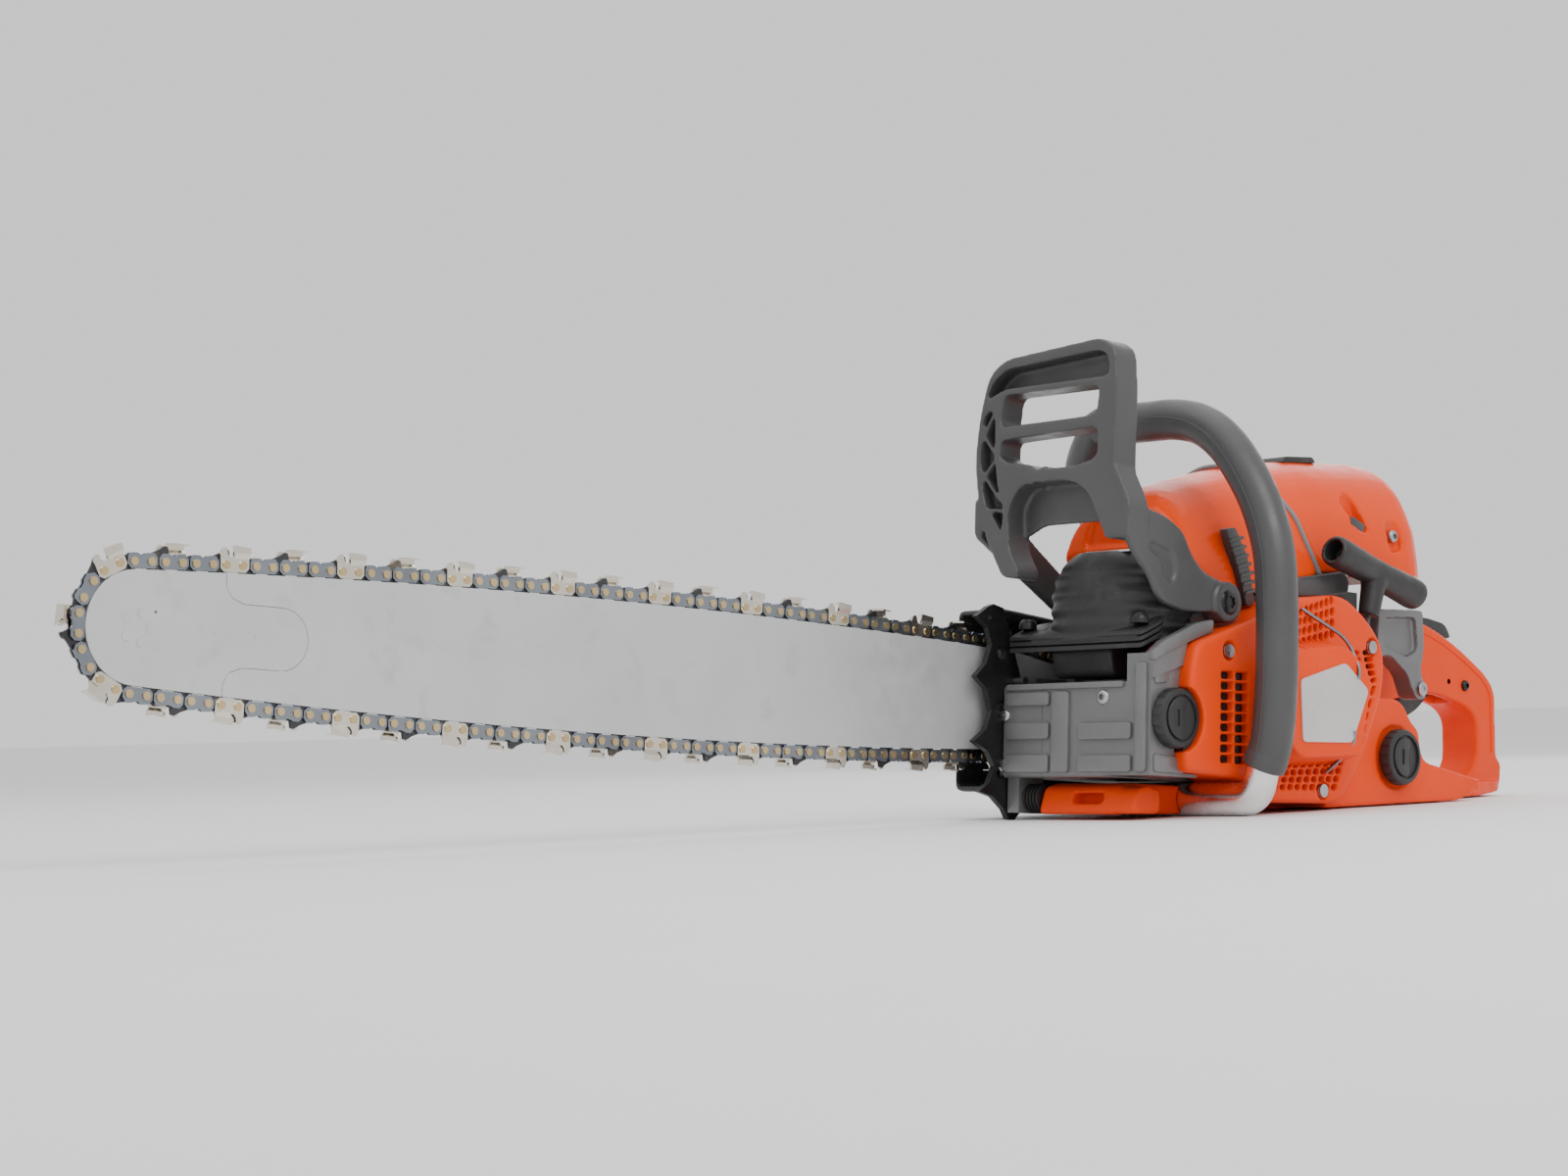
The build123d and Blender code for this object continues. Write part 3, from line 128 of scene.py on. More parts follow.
def surface(name, colour, roughness, metallic=0.0, grain=600.0, bump=0.05, shade=0.12, coat=0.0,
            marks=None, specular=0.5, distance=0.0004):
    """A material with fine grain, uneven gloss, broad shade changes and optional worn marks."""
    material = bpy.data.materials.new(name)
    material.use_nodes = True
    nodes, links = material.node_tree.nodes, material.node_tree.links
    shader = nodes["Principled BSDF"]
    shader.inputs["Metallic"].default_value = metallic
    shader.inputs["Coat Weight"].default_value = coat
    shader.inputs["Coat Roughness"].default_value = 0.12
    shader.inputs["Specular IOR Level"].default_value = specular
    where = nodes.new("ShaderNodeTexCoord")

    def noise(scale, detail=4.0):
        node = nodes.new("ShaderNodeTexNoise")
        node.inputs["Scale"].default_value = scale
        node.inputs["Detail"].default_value = detail
        links.new(where.outputs["Object"], node.inputs["Vector"])
        return node.outputs["Fac"]

    def ramp(source, low, high, start=0.35, end=0.65):
        node = nodes.new("ShaderNodeValToRGB")
        node.color_ramp.elements[0].position = start
        node.color_ramp.elements[1].position = end
        node.color_ramp.elements[0].color = low
        node.color_ramp.elements[1].color = high
        links.new(source, node.inputs["Fac"])
        return node.outputs["Color"]

    dark = (*[c * (1 - shade) for c in colour], 1)
    light = (*[min(1.0, c * (1 + shade * 0.6)) for c in colour], 1)
    tint = ramp(noise(14), dark, light, 0.3, 0.7)
    if marks:
        mix = nodes.new("ShaderNodeMix")
        mix.data_type = "RGBA"
        links.new(
            ramp(noise(MARK_SCALE, 8), (0, 0, 0, 1), (1, 1, 1, 1), 0.6, 0.72), mix.inputs["Factor"]
        )
        links.new(tint, mix.inputs[6])
        mix.inputs[7].default_value = (*marks, 1)
        tint = mix.outputs[2]
    links.new(tint, shader.inputs["Base Color"])
    low, high = max(0.03, roughness - 0.07), min(1.0, roughness + 0.09)
    gloss = ramp(noise(70, 6), (low, low, low, 1), (high, high, high, 1))
    links.new(gloss, shader.inputs["Roughness"])
    relief = nodes.new("ShaderNodeBump")
    relief.inputs["Strength"].default_value = bump
    relief.inputs["Distance"].default_value = distance
    links.new(noise(grain, 3), relief.inputs["Height"])
    links.new(relief.outputs["Normal"], shader.inputs["Normal"])
    return material


MATERIALS = {
    "chain_steel": surface(
        "chain_steel", (0.075, 0.075, 0.08), 0.36, 1.0, 900, 0.08, 0.3, marks=(0.2, 0.17, 0.13)
    ),
    "strap_steel": surface("strap_steel", (0.25, 0.275, 0.31), 0.3, 1.0, 900, 0.06, 0.25),
    "cutter_chrome": surface("cutter_chrome", (0.74, 0.69, 0.6), 0.2, 1.0, 700, 0.04, 0.14),
    "rivet_steel": surface("rivet_steel", (0.62, 0.47, 0.26), 0.28, 1.0, 800, 0.05, 0.2),
    "bar_steel": surface(
        "bar_steel", (0.56, 0.565, 0.57), 0.38, 0.35, 420, 0.05, 0.06, marks=(0.5, 0.5, 0.5)
    ),
    "bright_steel": surface("bright_steel", (0.72, 0.72, 0.72), 0.25, 1.0, 900, 0.05, 0.15),
    "machine_steel": surface("machine_steel", (0.46, 0.46, 0.48), 0.33, 1.0, 700, 0.08, 0.2),
    "black_steel": surface(
        "black_steel", (0.012, 0.012, 0.013), 0.34, 0.2, 500, 0.1, 0.2, marks=(0.03, 0.03, 0.03)
    ),
    "muffler_black": surface("muffler_black", (0.022, 0.022, 0.023), 0.5, 0.1, 420, 0.3, 0.2,
                             marks=(0.04, 0.038, 0.036), distance=0.0006),
    "grey_plastic": surface("grey_plastic", (0.06, 0.06, 0.062), 0.42, 0.0, 900, 0.25, 0.12),
    "dark_plastic": surface("dark_plastic", (0.02, 0.02, 0.021), 0.46, 0.0, 900, 0.22, 0.15),
    "black_rubber": surface("black_rubber", (0.012, 0.012, 0.012), 0.6, 0.0, 700, 0.3, 0.2),
    "grip_rubber": surface("grip_rubber", (0.062, 0.062, 0.064), 0.36, 0.0, 1100, 0.3, 0.12),
    "bare_aluminium": surface("bare_aluminium", (0.86, 0.86, 0.86), 0.24, 1.0, 600, 0.08, 0.06),
    "raw_aluminium": surface("raw_aluminium", (0.55, 0.55, 0.55), 0.45, 1.0, 350, 0.2, 0.15),
    "magnesium": surface(
        "magnesium", (0.185, 0.185, 0.188), 0.42, 0.45, 330, 0.32, 0.12, distance=0.0006
    ),
    "orange_plastic": surface("orange_plastic", (0.84, 0.054, 0.0), 0.42, 0.0, 800, 0.14, 0.07,
                              marks=(0.78, 0.048, 0.0), specular=0.18),
    "orange_gloss": surface(
        "orange_gloss", (0.88, 0.06, 0.0), 0.22, 0.0, 240, 0.04, 0.05, coat=0.06, specular=0.14
    ),
    "badge_silver": surface("badge_silver", (0.62, 0.6, 0.59), 0.34, 0.5, 500, 0.08, 0.06),
    "filter_felt": surface("filter_felt", (0.5, 0.5, 0.45), 0.9, 0.0, 900, 0.6, 0.2),
    "rope_nylon": surface("rope_nylon", (0.1, 0.1, 0.1), 0.7, 0.0, 900, 0.6, 0.3),
}
SEAL_GREY = surface("seal_grey", (0.2, 0.2, 0.205), 0.6, 0.0, 800, 0.2, 0.12)
FLOOR_PALE = surface("floor_pale", (0.86, 0.86, 0.86), 0.7, 0.0, 60, 0.02, 0.01)

CAD_CREASE = radians(32)
for row in frame["record"]["subparts"]:
    node = frame["nodes"][row["node"]]
    node.data.materials.clear()
    node.data.materials.append(MATERIALS[row["material_slot"]])
    node.data.set_sharp_from_angle(angle=CAD_CREASE)

floor_mesh = bpy.data.meshes.new("floor")
FLOOR_HALF = 60.0
floor_mesh.from_pydata(
    [
        (-FLOOR_HALF, -FLOOR_HALF, 0), (FLOOR_HALF, -FLOOR_HALF, 0), (FLOOR_HALF, FLOOR_HALF, 0),
        (-FLOOR_HALF, FLOOR_HALF, 0)
    ],
    [], [(0, 1, 2, 3)],
)
floor = bpy.data.objects.new("floor", floor_mesh)
floor_mesh.materials.append(FLOOR_PALE)
scene.collection.objects.link(floor)


# ------------------------------------------------------------------ shape helpers
def new_object(bm):
    """A mesh object from a bmesh, in the design frame."""
    bmesh.ops.recalc_face_normals(bm, faces=bm.faces)
    mesh = bpy.data.meshes.new("shape")
    bm.to_mesh(mesh)
    bm.free()
    shape = bpy.data.objects.new("shape", mesh)
    scene.collection.objects.link(shape)
    return shape


def settle(shape):
    """Apply the modifiers of a shape."""
    graph = bpy.context.evaluated_depsgraph_get()
    mesh = bpy.data.meshes.new_from_object(shape.evaluated_get(graph))
    old = shape.data
    shape.modifiers.clear()
    shape.data = mesh
    bpy.data.meshes.remove(old)
    return shape


def rounded(points, radius, steps=4):
    """A closed outline with its corners rounded; radius is one number, or one for each corner."""
    result = []
    count = len(points)
    radii = radius if isinstance(radius, (list, tuple)) else [radius] * count
    for i, corner in enumerate(points):
        corner = Vector(corner)
        before = Vector(points[i - 1]) - corner
        after = Vector(points[(i + 1) % count]) - corner
        reach = min(radii[i], before.length * 0.48, after.length * 0.48)
        if reach < 0.05:
            result.append(tuple(corner))
            continue
        start = corner + before.normalized() * reach
        end = corner + after.normalized() * reach
        for k in range(steps + 1):
            t = k / steps
            result.append(tuple((1 - t) ** 2 * start + 2 * t * (1 - t) * corner + t * t * end))
    return result


def at(plane, u, v, w):
    """A point of a plane's outline: side is X-Z along Y, front is Y-Z along X, top is X-Y along Z."""
    return {"side": (u, w, v), "front": (w, u, v), "top": (u, v, w)}[plane]


def slab(plane, points, low, high, bevel=0.0, steps=2, draft=0.0):
    """A flat piece with an outline between two planes, its edges rounded; draft shrinks the low end."""
    middle = sum((Vector(p) for p in points), Vector((0, 0))) / len(points)
    bm = bmesh.new()
    rims = []
    for level, share in ((low, 1 - draft), (high, 1.0)):
        rims.append([
            bm.verts.new(at(plane, *(middle + (Vector(p) - middle) * share), level)) for p in points
        ])
    bm.faces.new(rims[0])
    bm.faces.new(rims[1])
    for i in range(len(points)):
        j = (i + 1) % len(points)
        bm.faces.new((rims[0][i], rims[0][j], rims[1][j], rims[1][i]))
    shape = new_object(bm)
    if bevel:
        rounding = shape.modifiers.new("bevel", "BEVEL")
        rounding.width = bevel
        rounding.segments = steps
        rounding.limit_method = "ANGLE"
        rounding.angle_limit = radians(40)
        settle(shape)
    return shape


DISC_SIDES = 48


def disc(plane, radius, low, high, centre=(0, 0)):
    """A round piece across a plane."""
    angles = [2 * pi * i / DISC_SIDES for i in range(DISC_SIDES)]
    rim = [(centre[0] + radius * cos(angle), centre[1] + radius * sin(angle)) for angle in angles]
    return slab(plane, rim, low, high)


def turned(profile, origin, axis, count=48):
    """A lathed piece: profile gives (distance along the axis, radius) pairs from end to end."""
    axis = Vector(axis).normalized()
    side = axis.orthogonal().normalized()
    other = axis.cross(side)
    bm = bmesh.new()
    rings = []
    for along, radius in profile:
        centre = Vector(origin) + axis * along
        rings.append([
            bm.verts.new(
                centre + radius * (side * cos(2 * pi * i / count) + other * sin(2 * pi * i / count))
            )
            for i in range(count)
        ])
    for first, second in zip(rings, rings[1:]):
        for i in range(count):
            j = (i + 1) % count
            bm.faces.new((first[i], first[j], second[j], second[i]))
    bm.faces.new(rings[0])
    bm.faces.new(rings[-1])
    return new_object(bm)


def tube(path, radius, count=24):
    """A swept round piece along points, with an even twist."""
    points = [Vector(path[0])]
    points += [b for a, b in zip(map(Vector, path), map(Vector, path[1:])) if (b - a).length > 1e-4]
    bm = bmesh.new()
    rings = []
    side = None
    for i, point in enumerate(points):
        along = (points[min(i + 1, len(points) - 1)] - points[max(i - 1, 0)]).normalized()
        if side is None:
            side = along.orthogonal().normalized()
        else:
            side = (side - along * side.dot(along)).normalized()
        other = along.cross(side)
        rings.append([
            bm.verts.new(
                point + radius * (side * cos(2 * pi * k / count) + other * sin(2 * pi * k / count))
            )
            for k in range(count)
        ])
    for first, second in zip(rings, rings[1:]):
        for k in range(count):
            j = (k + 1) % count
            bm.faces.new((first[k], first[j], second[j], second[k]))
    bm.faces.new(rings[0])
    bm.faces.new(rings[-1])
    return new_object(bm)


def smooth_path(points, radius, steps=10):
    """An open path of straight runs with rounded corners."""
    result = [Vector(points[0])]
    for i in range(1, len(points) - 1):
        corner = Vector(points[i])
        before = Vector(points[i - 1]) - corner
        after = Vector(points[i + 1]) - corner
        reach = min(radius, before.length * 0.49, after.length * 0.49)
        start = corner + before.normalized() * reach
        end = corner + after.normalized() * reach
        result += [
            (1 - k / steps) ** 2 * start + 2 * k / steps * (1 - k / steps) * corner + (k / steps) ** 2 * end
            for k in range(steps + 1)
        ]
    result.append(Vector(points[-1]))
    return result


def combine(shape, tools, operation="DIFFERENCE"):
    """Cut tools from a shape, or join them to it."""
    for tool in tools:
        step = shape.modifiers.new("combine", "BOOLEAN")
        step.operation = operation
        step.solver = "EXACT"
        step.object = tool
        settle(shape)
        bpy.data.meshes.remove(tool.data)
    return shape


def merge(shapes):
    """Several shapes as one object, without joining their surfaces."""
    bm = bmesh.new()
    for shape in shapes:
        bm.from_mesh(shape.data)
        bpy.data.meshes.remove(shape.data)
    mesh = bpy.data.meshes.new("shape")
    bm.to_mesh(mesh)
    bm.free()
    result = bpy.data.objects.new("shape", mesh)
    scene.collection.objects.link(result)
    return result


def moulded(shapes, cutters=(), voxel=1.3, rounds=5):
    """Overlapping shapes melted into one moulding with soft edges.

    The cutters are taken from each shape first.
    """
    for tool in cutters:
        for shape in shapes:
            step = shape.modifiers.new("cut", "BOOLEAN")
            step.operation = "DIFFERENCE"
            step.solver = "EXACT"
            step.object = tool
            settle(shape)
        bpy.data.meshes.remove(tool.data)
    body = merge(shapes)
    remesh = body.modifiers.new("remesh", "REMESH")
    remesh.mode = "VOXEL"
    remesh.voxel_size = voxel
    relax = body.modifiers.new("relax", "SMOOTH")
    relax.factor = 0.5
    relax.iterations = rounds
    return settle(body)


CREASE = radians(38)


def piece(name, shapes, body, slot, replaces=(), material=None):
    """Finish some shapes as one visible piece that rides on a CAD body."""
    result = merge(shapes) if len(shapes) > 1 else shapes[0]
    result.name = name
    result.data.name = name
    result.data.transform(STAND)
    result.data.materials.clear()
    result.data.materials.append(material or MATERIALS[slot])
    for polygon in result.data.polygons:
        polygon.use_smooth = True
    result.data.set_sharp_from_angle(angle=CREASE)
    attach(result, body)
    if replaces:
        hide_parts(*replaces)
    return result


def star_screw(origin, axis, radius=5.0, height=3.2):
    """A domed screw head with a star socket."""
    head = turned(
        [
            (0, radius * 0.6), (0, radius), (height * 0.45, radius), (height * 0.8, radius * 0.86),
            (height, radius * 0.6)
        ],
        origin, axis, 36,
    )
    direction = Vector(axis).normalized()
    side = direction.orthogonal().normalized()
    other = direction.cross(side)
    bm = bmesh.new()
    rims = [[], []]
    for k in range(48):
        angle = 2 * pi * k / 48
        size = radius * (0.42 + 0.07 * cos(6 * angle))
        for rim, level in zip(rims, (height * 0.35, height + 1)):
            rim.append(bm.verts.new(
                Vector(origin) + direction * level + size * (side * cos(angle) + other * sin(angle))
            ))
    bm.faces.new(rims[0])
    bm.faces.new(rims[1])
    for k in range(48):
        j = (k + 1) % 48
        bm.faces.new((rims[0][k], rims[0][j], rims[1][j], rims[1][k]))
    return combine(head, [new_object(bm)])


# ------------------------------------------------------------------ covers over the engine
COVER_SECTION = [
    (-60, 60), (-63, 84), (-62, 112), (-57, 140), (-46, 163), (-31, 178), (-12, 185), (8, 185),
    (24, 176), (36, 158), (42, 130), (43, 96), (42, 60),
]
SECTION_TOP = 185.0
SECTION_FOOT = 60.0
SECTION_MIDDLE = -10.0
REAR_TAPER_X = 182.0
STATIONS = 24
BUTTON_PLACE = (-42, 21)
BUTTON_ROOM = 9.0


def cover_loft(x_low, x_high, silhouette):
    """A crowned hood: one section carried along X under a silhouette of (X, top Z) points."""
    outline = rounded(COVER_SECTION, 9, 3)
    bm = bmesh.new()
    rings = []
    for i in range(STATIONS + 1):
        x = x_low + (x_high - x_low) * i / STATIONS
        top = silhouette[-1][1]
        for (x0, z0), (x1, z1) in zip(silhouette, silhouette[1:]):
            if x0 <= x <= x1:
                t = (x - x0) / (x1 - x0)
                top = z0 + (z1 - z0) * t
        taper = 1 - 0.3 * max(0.0, (x - REAR_TAPER_X) / 30) ** 2
        height = (top - SECTION_FOOT) / (SECTION_TOP - SECTION_FOOT) * (1 + 2 * taper) / 3
        rings.append([
            bm.verts.new((
                x, SECTION_MIDDLE + (y - SECTION_MIDDLE) * taper,
                SECTION_FOOT + (z - SECTION_FOOT) * height,
            ))
            for y, z in outline
        ])
    count = len(outline)
    for first, second in zip(rings, rings[1:]):
        for k in range(count):
            j = (k + 1) % count
            bm.faces.new((first[k], first[j], second[j], second[k]))
    bm.faces.new(rings[0])
    bm.faces.new(rings[-1])
    return new_object(bm)


COVER_TOP = [
    (-80, 118), (-67, 134), (-50, 144), (-22, 153), (34, 168), (95, 179), (165, 185), (200, 186),
    (215, 184)
]
CYLINDER_SIDE = [
    (-72, 97), (-68, 127), (-50, 142), (-22, 156), (34, 174), (60, 180), (30, 160), (44, 146),
    (53, 134), (74, 94), (52, 88), (20, 80), (-16, 70), (-38, 79), (-60, 88),
]
FILTER_SIDE = [
    (33, 160), (60, 190), (168, 190), (186, 185), (194, 168), (208, 124), (208, 107), (203, 102),
    (104, 97), (76, 95), (55, 134), (46, 147),
]
cylinder_hood = combine(
    cover_loft(-72, 80, COVER_TOP), [slab("side", rounded(CYLINDER_SIDE, 5, 3), -70, 50)], "INTERSECT"
)
front_recess = slab("front", rounded([(-40, 104), (-36, 124), (20, 124), (26, 104)], 6), -76, -67)
cylinder_hood = moulded(
    [cylinder_hood],
    [
        front_recess,
        slab("side", rounded([(-34, 116), (-20, 118), (-6, 92), (-14, 84)], 4), -70, -61.2),
        disc("top", BUTTON_ROOM, 106, 200, BUTTON_PLACE),
    ],
    1.25, 6,
)
piece("cylinder_cover_shell", [cylinder_hood], "saw", "orange_gloss", ["cylinder_cover"])
filter_hood = combine(
    cover_loft(30, 212, COVER_TOP),
    [slab("side", rounded(FILTER_SIDE, [5, 5, 5, 10, 14, 12, 6, 6, 5, 5, 5, 5], 5), -70, 50)],
    "INTERSECT",
)
filter_hood = moulded([filter_hood], [
    slab("side", rounded([(113, 148), (121, 158), (129, 150), (137, 128), (124, 131)], 2), -70, -47),
    slab("side", rounded([(160, 116), (158, 138), (172, 140), (176, 120)], 5), -70, -55),
], 1.25, 6)
piece("filter_cover_shell", [filter_hood], "saw", "orange_gloss", ["filter_cover"])

clip = slab("side", rounded([(117, 133), (119, 139), (134, 134), (132, 128)], 1.5), -58, -54, 0.8)
piece("cover_clip", [clip], "saw", "grey_plastic")
piece("cover_side_screw", [star_screw((167, -56.4, 129), (0, -1, 0), 4.6)], "saw", "machine_steel")
ridge = slab("side", rounded([(92, 177), (96, 182), (128, 185), (132, 181)], 2), -16, 4, 1.2)
piece("cover_top_catch", [ridge], "saw", "dark_plastic")

SEAL_LINE = [
    (30, 161), (37, 154), (44, 147), (49, 140), (54, 132), (58, 123), (62, 114), (68, 104), (75, 93)
]


def cover_edge(x, z):
    """Y of the hood's left and right faces at a height under the silhouette."""
    top = 168 + (x - 34) * 0.18
    level = SECTION_FOOT + (z - SECTION_FOOT) * (SECTION_TOP - SECTION_FOOT) / (top - SECTION_FOOT)
    sides = []
    for chain in (COVER_SECTION[:7], COVER_SECTION[::-1][:7]):
        for (y0, z0), (y1, z1) in zip(chain, chain[1:]):
            if z0 <= level <= z1:
                sides.append(y0 + (y1 - y0) * (level - z0) / (z1 - z0))
                break
    return sides


seal = []
for end in (0, 1):
    path = [
        Vector((x, cover_edge(x, z)[end], z)) for x, z in SEAL_LINE if len(cover_edge(x, z)) == 2
    ]
    seal.append(tube(smooth_path(path, 5, 4), 2.1, 12))
over = [
    Vector((33, y, z)) for y,
    z in ((-38, 159), (-28, 164), (-12, 168.6), (8, 168.6), (22, 163), (32, 155))
]
seal.append(tube(smooth_path(over, 8, 4), 2.1, 12))
piece("cover_seal", seal, "saw", "grey_plastic", material=SEAL_GREY)

band = slab(
    "side", rounded([(44, 89), (98, 98), (104, 92), (103, 82), (60, 77), (46, 75)], 4), -67, -40, 2, 3
)
piece("cover_band", [band], "saw", "grey_plastic")
LATCH = [(-34, 115), (-24, 117), (-11, 99), (-2, 67), (-11, 65), (-20, 88)]
latch = [slab("side", rounded(LATCH, 2.5), -67.5, -61, 0.8)]
LATCH_RIBS = 7
for i in range(LATCH_RIBS):
    z = 108 - 5.6 * i
    x = -24 + 2.9 * i
    latch.append(
        slab(
            "side", [(x - 7.5, z - 2.2), (x - 6.8, z + 0.4), (x + 6.8, z + 4), (x + 7.5, z + 1.6)], -69,
            -66, 0.5
        )
    )
piece("cover_latch_ribbed", latch, "saw", "grey_plastic", ["cover_latch"])

# ------------------------------------------------------------------ starter side
OIL_CAP_PLACE = (-107, -15)
FUEL_CAP_PLACE = (143, -29)
STARTER_OUTLINE = [
    (-98, 16), (-93, 34), (-30, 55), (10, 71), (64, 78), (93, 62), (111, 44), (110, 15), (86, -34),
    (66, -58), (58, -64), (-20, -66), (-45, -51), (-101, -49), (-103, -33),
]
starter = slab(
    "side", rounded(STARTER_OUTLINE, [4, 8, 10, 10, 14, 16, 14, 12, 14, 10, 8, 8, 8, 5, 5]), -92, -47.4,
    3.5, 3
)
DOME = [(-36, -24), (-32, 22), (-8, 42), (46, 47), (88, 20), (68, -38), (-14, -44)]
dome = slab("side", rounded(DOME, 10, 4), -111.4, -88, 0, 2, 0.16)
cutters = [disc("side", 22, -100, -44, OIL_CAP_PLACE)]
AIR_SLOT_COLUMNS = (-61.5, -46.5)
AIR_SLOT_ROWS = 9
AIR_SLOT_TOP = 15.2
AIR_SLOT_PITCH = 6.8
for column in AIR_SLOT_COLUMNS:
    for row in range(AIR_SLOT_ROWS):
        z = AIR_SLOT_TOP - AIR_SLOT_PITCH * row
        cutters.append(slab("side", rounded([
            (column - 6.6, z - 2.8), (column - 6.6, z + 2.4), (column + 6.6, z + 2.8),
            (column + 6.6, z - 2.4)], 1.0, 2,
        ), -96, -85))


def grille(inner, outer, columns, rows, gap=0.16):
    """Through slots in a band between two edges, each given by its corner points."""
    def along(edge, t):
        t *= len(edge) - 1
        i = min(int(t), len(edge) - 2)
        return Vector(edge[i]).lerp(Vector(edge[i + 1]), t - i)

    tools = []
    for column in range(columns):
        for row in range(rows):
            corners = []
            for u, v in ((gap, gap), (1 - gap, gap), (1 - gap, 1 - gap), (gap, 1 - gap)):
                t, w = (column + u) / columns, (row + v) / rows
                corners.append(tuple(along(inner, t).lerp(along(outer, t), w)))
            tools.append(slab("side", rounded(corners, 1.1, 2), -115, -85))
    return tools


cutters += grille([(-4, 34), (54, 47)], [(3, 62), (53, 77)], 9, 4, 0.13)
cutters += grille([(54, 39), (67, 16), (56, -27)], [(97, 43), (104, 20), (83, -27)], 10, 3, 0.13)
cutters += grille([(-9, -39), (66, -33)], [(-15, -58), (57, -56)], 9, 4, 0.13)
STARTER_SCREWS = [(-60, 31), (42, -56), (96, 44)]
for x, z in STARTER_SCREWS:
    cutters.append(disc("side", 6.4, -100, -89, (x, z)))
starter = moulded([starter, dome], cutters, 0.95, 3)
piece("starter_cover_shell", [starter], "saw", "orange_plastic", ["starter_cover"])
piece(
    "starter_grille_back",
    [slab("side", rounded([(x * 0.97, z * 0.97) for x, z in STARTER_OUTLINE], 6), -86.6, -85.2, 0.5)],
    "saw", "dark_plastic"
)
piece(
    "starter_side_screws", [star_screw((x, -89.4, z), (0, -1, 0), 4.7) for x, z in STARTER_SCREWS],
    "saw", "machine_steel"
)
badge = slab(
    "side", rounded([(-11, 15), (38, 29), (64, 12), (46, -24), (-8, -26)], 4), -112.6, -111.0, 0.5
)
piece("starter_badge_plate", [badge], "saw", "badge_silver", ["starter_badge"])
wires = [
    tube(
        smooth_path(
            [
                Vector(p) for p in (
                    (14, -86, 69), (24, -95, 60), (51, -104, 46), (53, -112.4, 26), (52, -112.6, 19)
                )
            ], 12
        ), 1.25, 10
    ),
    tube(
        smooth_path(
            [Vector(p) for p in ((48, -112.6, -16), (49, -111, -26), (47, -98, -38), (46, -90, -44))], 8
        ), 1.25, 10
    ),
]
piece("badge_wire", wires, "saw", "strap_steel")

# ------------------------------------------------------------------ pull handle and its rope
PULL_Y = -81.5
rope_top = Vector((113, PULL_Y, 97))
rope_axis = (rope_top - Vector((102, PULL_Y, 52))).normalized()
bar_axis = Vector((0, -1, 0)).cross(rope_axis).normalized()
grip_profile = [
    (-50, 6.5), (-50, 9.2), (-48.6, 10.6), (-44, 11), (-20, 10.4), (-8, 9.8), (8, 9.8), (20, 10.4),
    (44, 11), (48.6, 10.6), (50, 9.2), (50, 6.5)
]
grip_bar = turned(grip_profile, rope_top, bar_axis, 40)
stem = turned([(-31, 5.2), (-31, 6.6), (-29, 7.4), (-14, 8.2), (-2, 9.6)], rope_top, rope_axis, 36)
hollows = [turned([(36, 7.2), (60, 7.6)], rope_top, bar_axis * sign, 30) for sign in (-1, 1)]
grip_bar = moulded([grip_bar, stem], hollows, 0.8, 3)
piece("pull_handle_moulding", [grip_bar], "pull_grip", "dark_plastic", ["pull_handle"])
STRANDS = 3
STRAND_STEPS = 60
STEPS_PER_TURN = 14
STRAND_OFFSET = 0.8
STRAND_RADIUS = 0.9
rope_side = rope_axis.orthogonal().normalized()
strands = []
for k in range(STRANDS):
    path = []
    for i in range(STRAND_STEPS):
        along = -8 - 40 * i / (STRAND_STEPS - 1)
        angle = 2 * pi * (k / STRANDS + i / STEPS_PER_TURN)
        across = rope_side * cos(angle) + rope_axis.cross(rope_side) * sin(angle)
        path.append(rope_top + rope_axis * along + STRAND_OFFSET * across)
    strands.append(tube(path, STRAND_RADIUS, 8))
rope = merge(strands)
rope.name = rope.data.name = "starter_rope_strands"
rope.data.transform(STAND)
rope.data.materials.append(MATERIALS["rope_nylon"])
for polygon in rope.data.polygons:
    polygon.use_smooth = True
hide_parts("starter_rope")
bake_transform(rope)

# ------------------------------------------------------------------ hand guard
PIVOT_X, PIVOT_Z = -50, 64
PIVOT = (PIVOT_X, PIVOT_Z)
PIVOT_RADIUS = 4
GUARD_OUTER = [
    (-64, 100), (-69, 124), (-70, 200), (-68, 222), (-56, 229), (27, 223), (41, 214), (49, 188),
    (53, 158), (50, 132), (43, 106), (27, 78), (13, 76), (13, 83), (21, 95), (23, 124), (14, 136),
    (4, 139), (-33, 138), (-47, 129), (-59, 104),
]
GUARD_RADII = [4, 10, 8, 10, 10, 16, 16, 12, 14, 12, 10, 4, 4, 5, 8, 12, 10, 8, 12, 14, 4]
guard = slab("front", rounded(GUARD_OUTER, GUARD_RADII, 4), -151, -129)
windows = [
    slab("front", rounded([(28, 199), (31, 178), (-53, 179), (-55, 199)], 6), -160, -120),
    slab(
        "front", rounded(
            [(30, 169), (31, 155), (5, 151), (0, 147.5), (-33, 147), (-54, 151), (-54, 171)], 4
        ), -160, -120
    ),
    slab(
        "front", rounded(
            [
                (44, 197), (28, 203), (-54, 204), (-63, 204), (-62, 217), (-54, 221), (26, 216),
                (38, 209)
            ], 4
        ), -160, -137
    ),
    slab(
        "front", rounded(
            [
                (36, 193), (46, 186), (48, 158), (45, 134), (38, 112), (29, 101), (27, 124),
                (33, 140), (35, 158)
            ], 4
        ), -160, -140
    ),
]
arm = slab("side", rounded([
    (-151, 104), (-151, 121), (-140, 120), (-114, 115), (-95, 107), (-85, 90), (-72, 80),
    (-54, 77.5), (-40, 71), (-37, 62), (-41, 54), (-50, 50.5), (-63, 57), (-92, 55), (-115, 60),
    (-125, 77), (-139, 86), (-147, 96),
], 5), -81, -75)
boss = disc("side", 13.5, -83.5, -70, PIVOT)
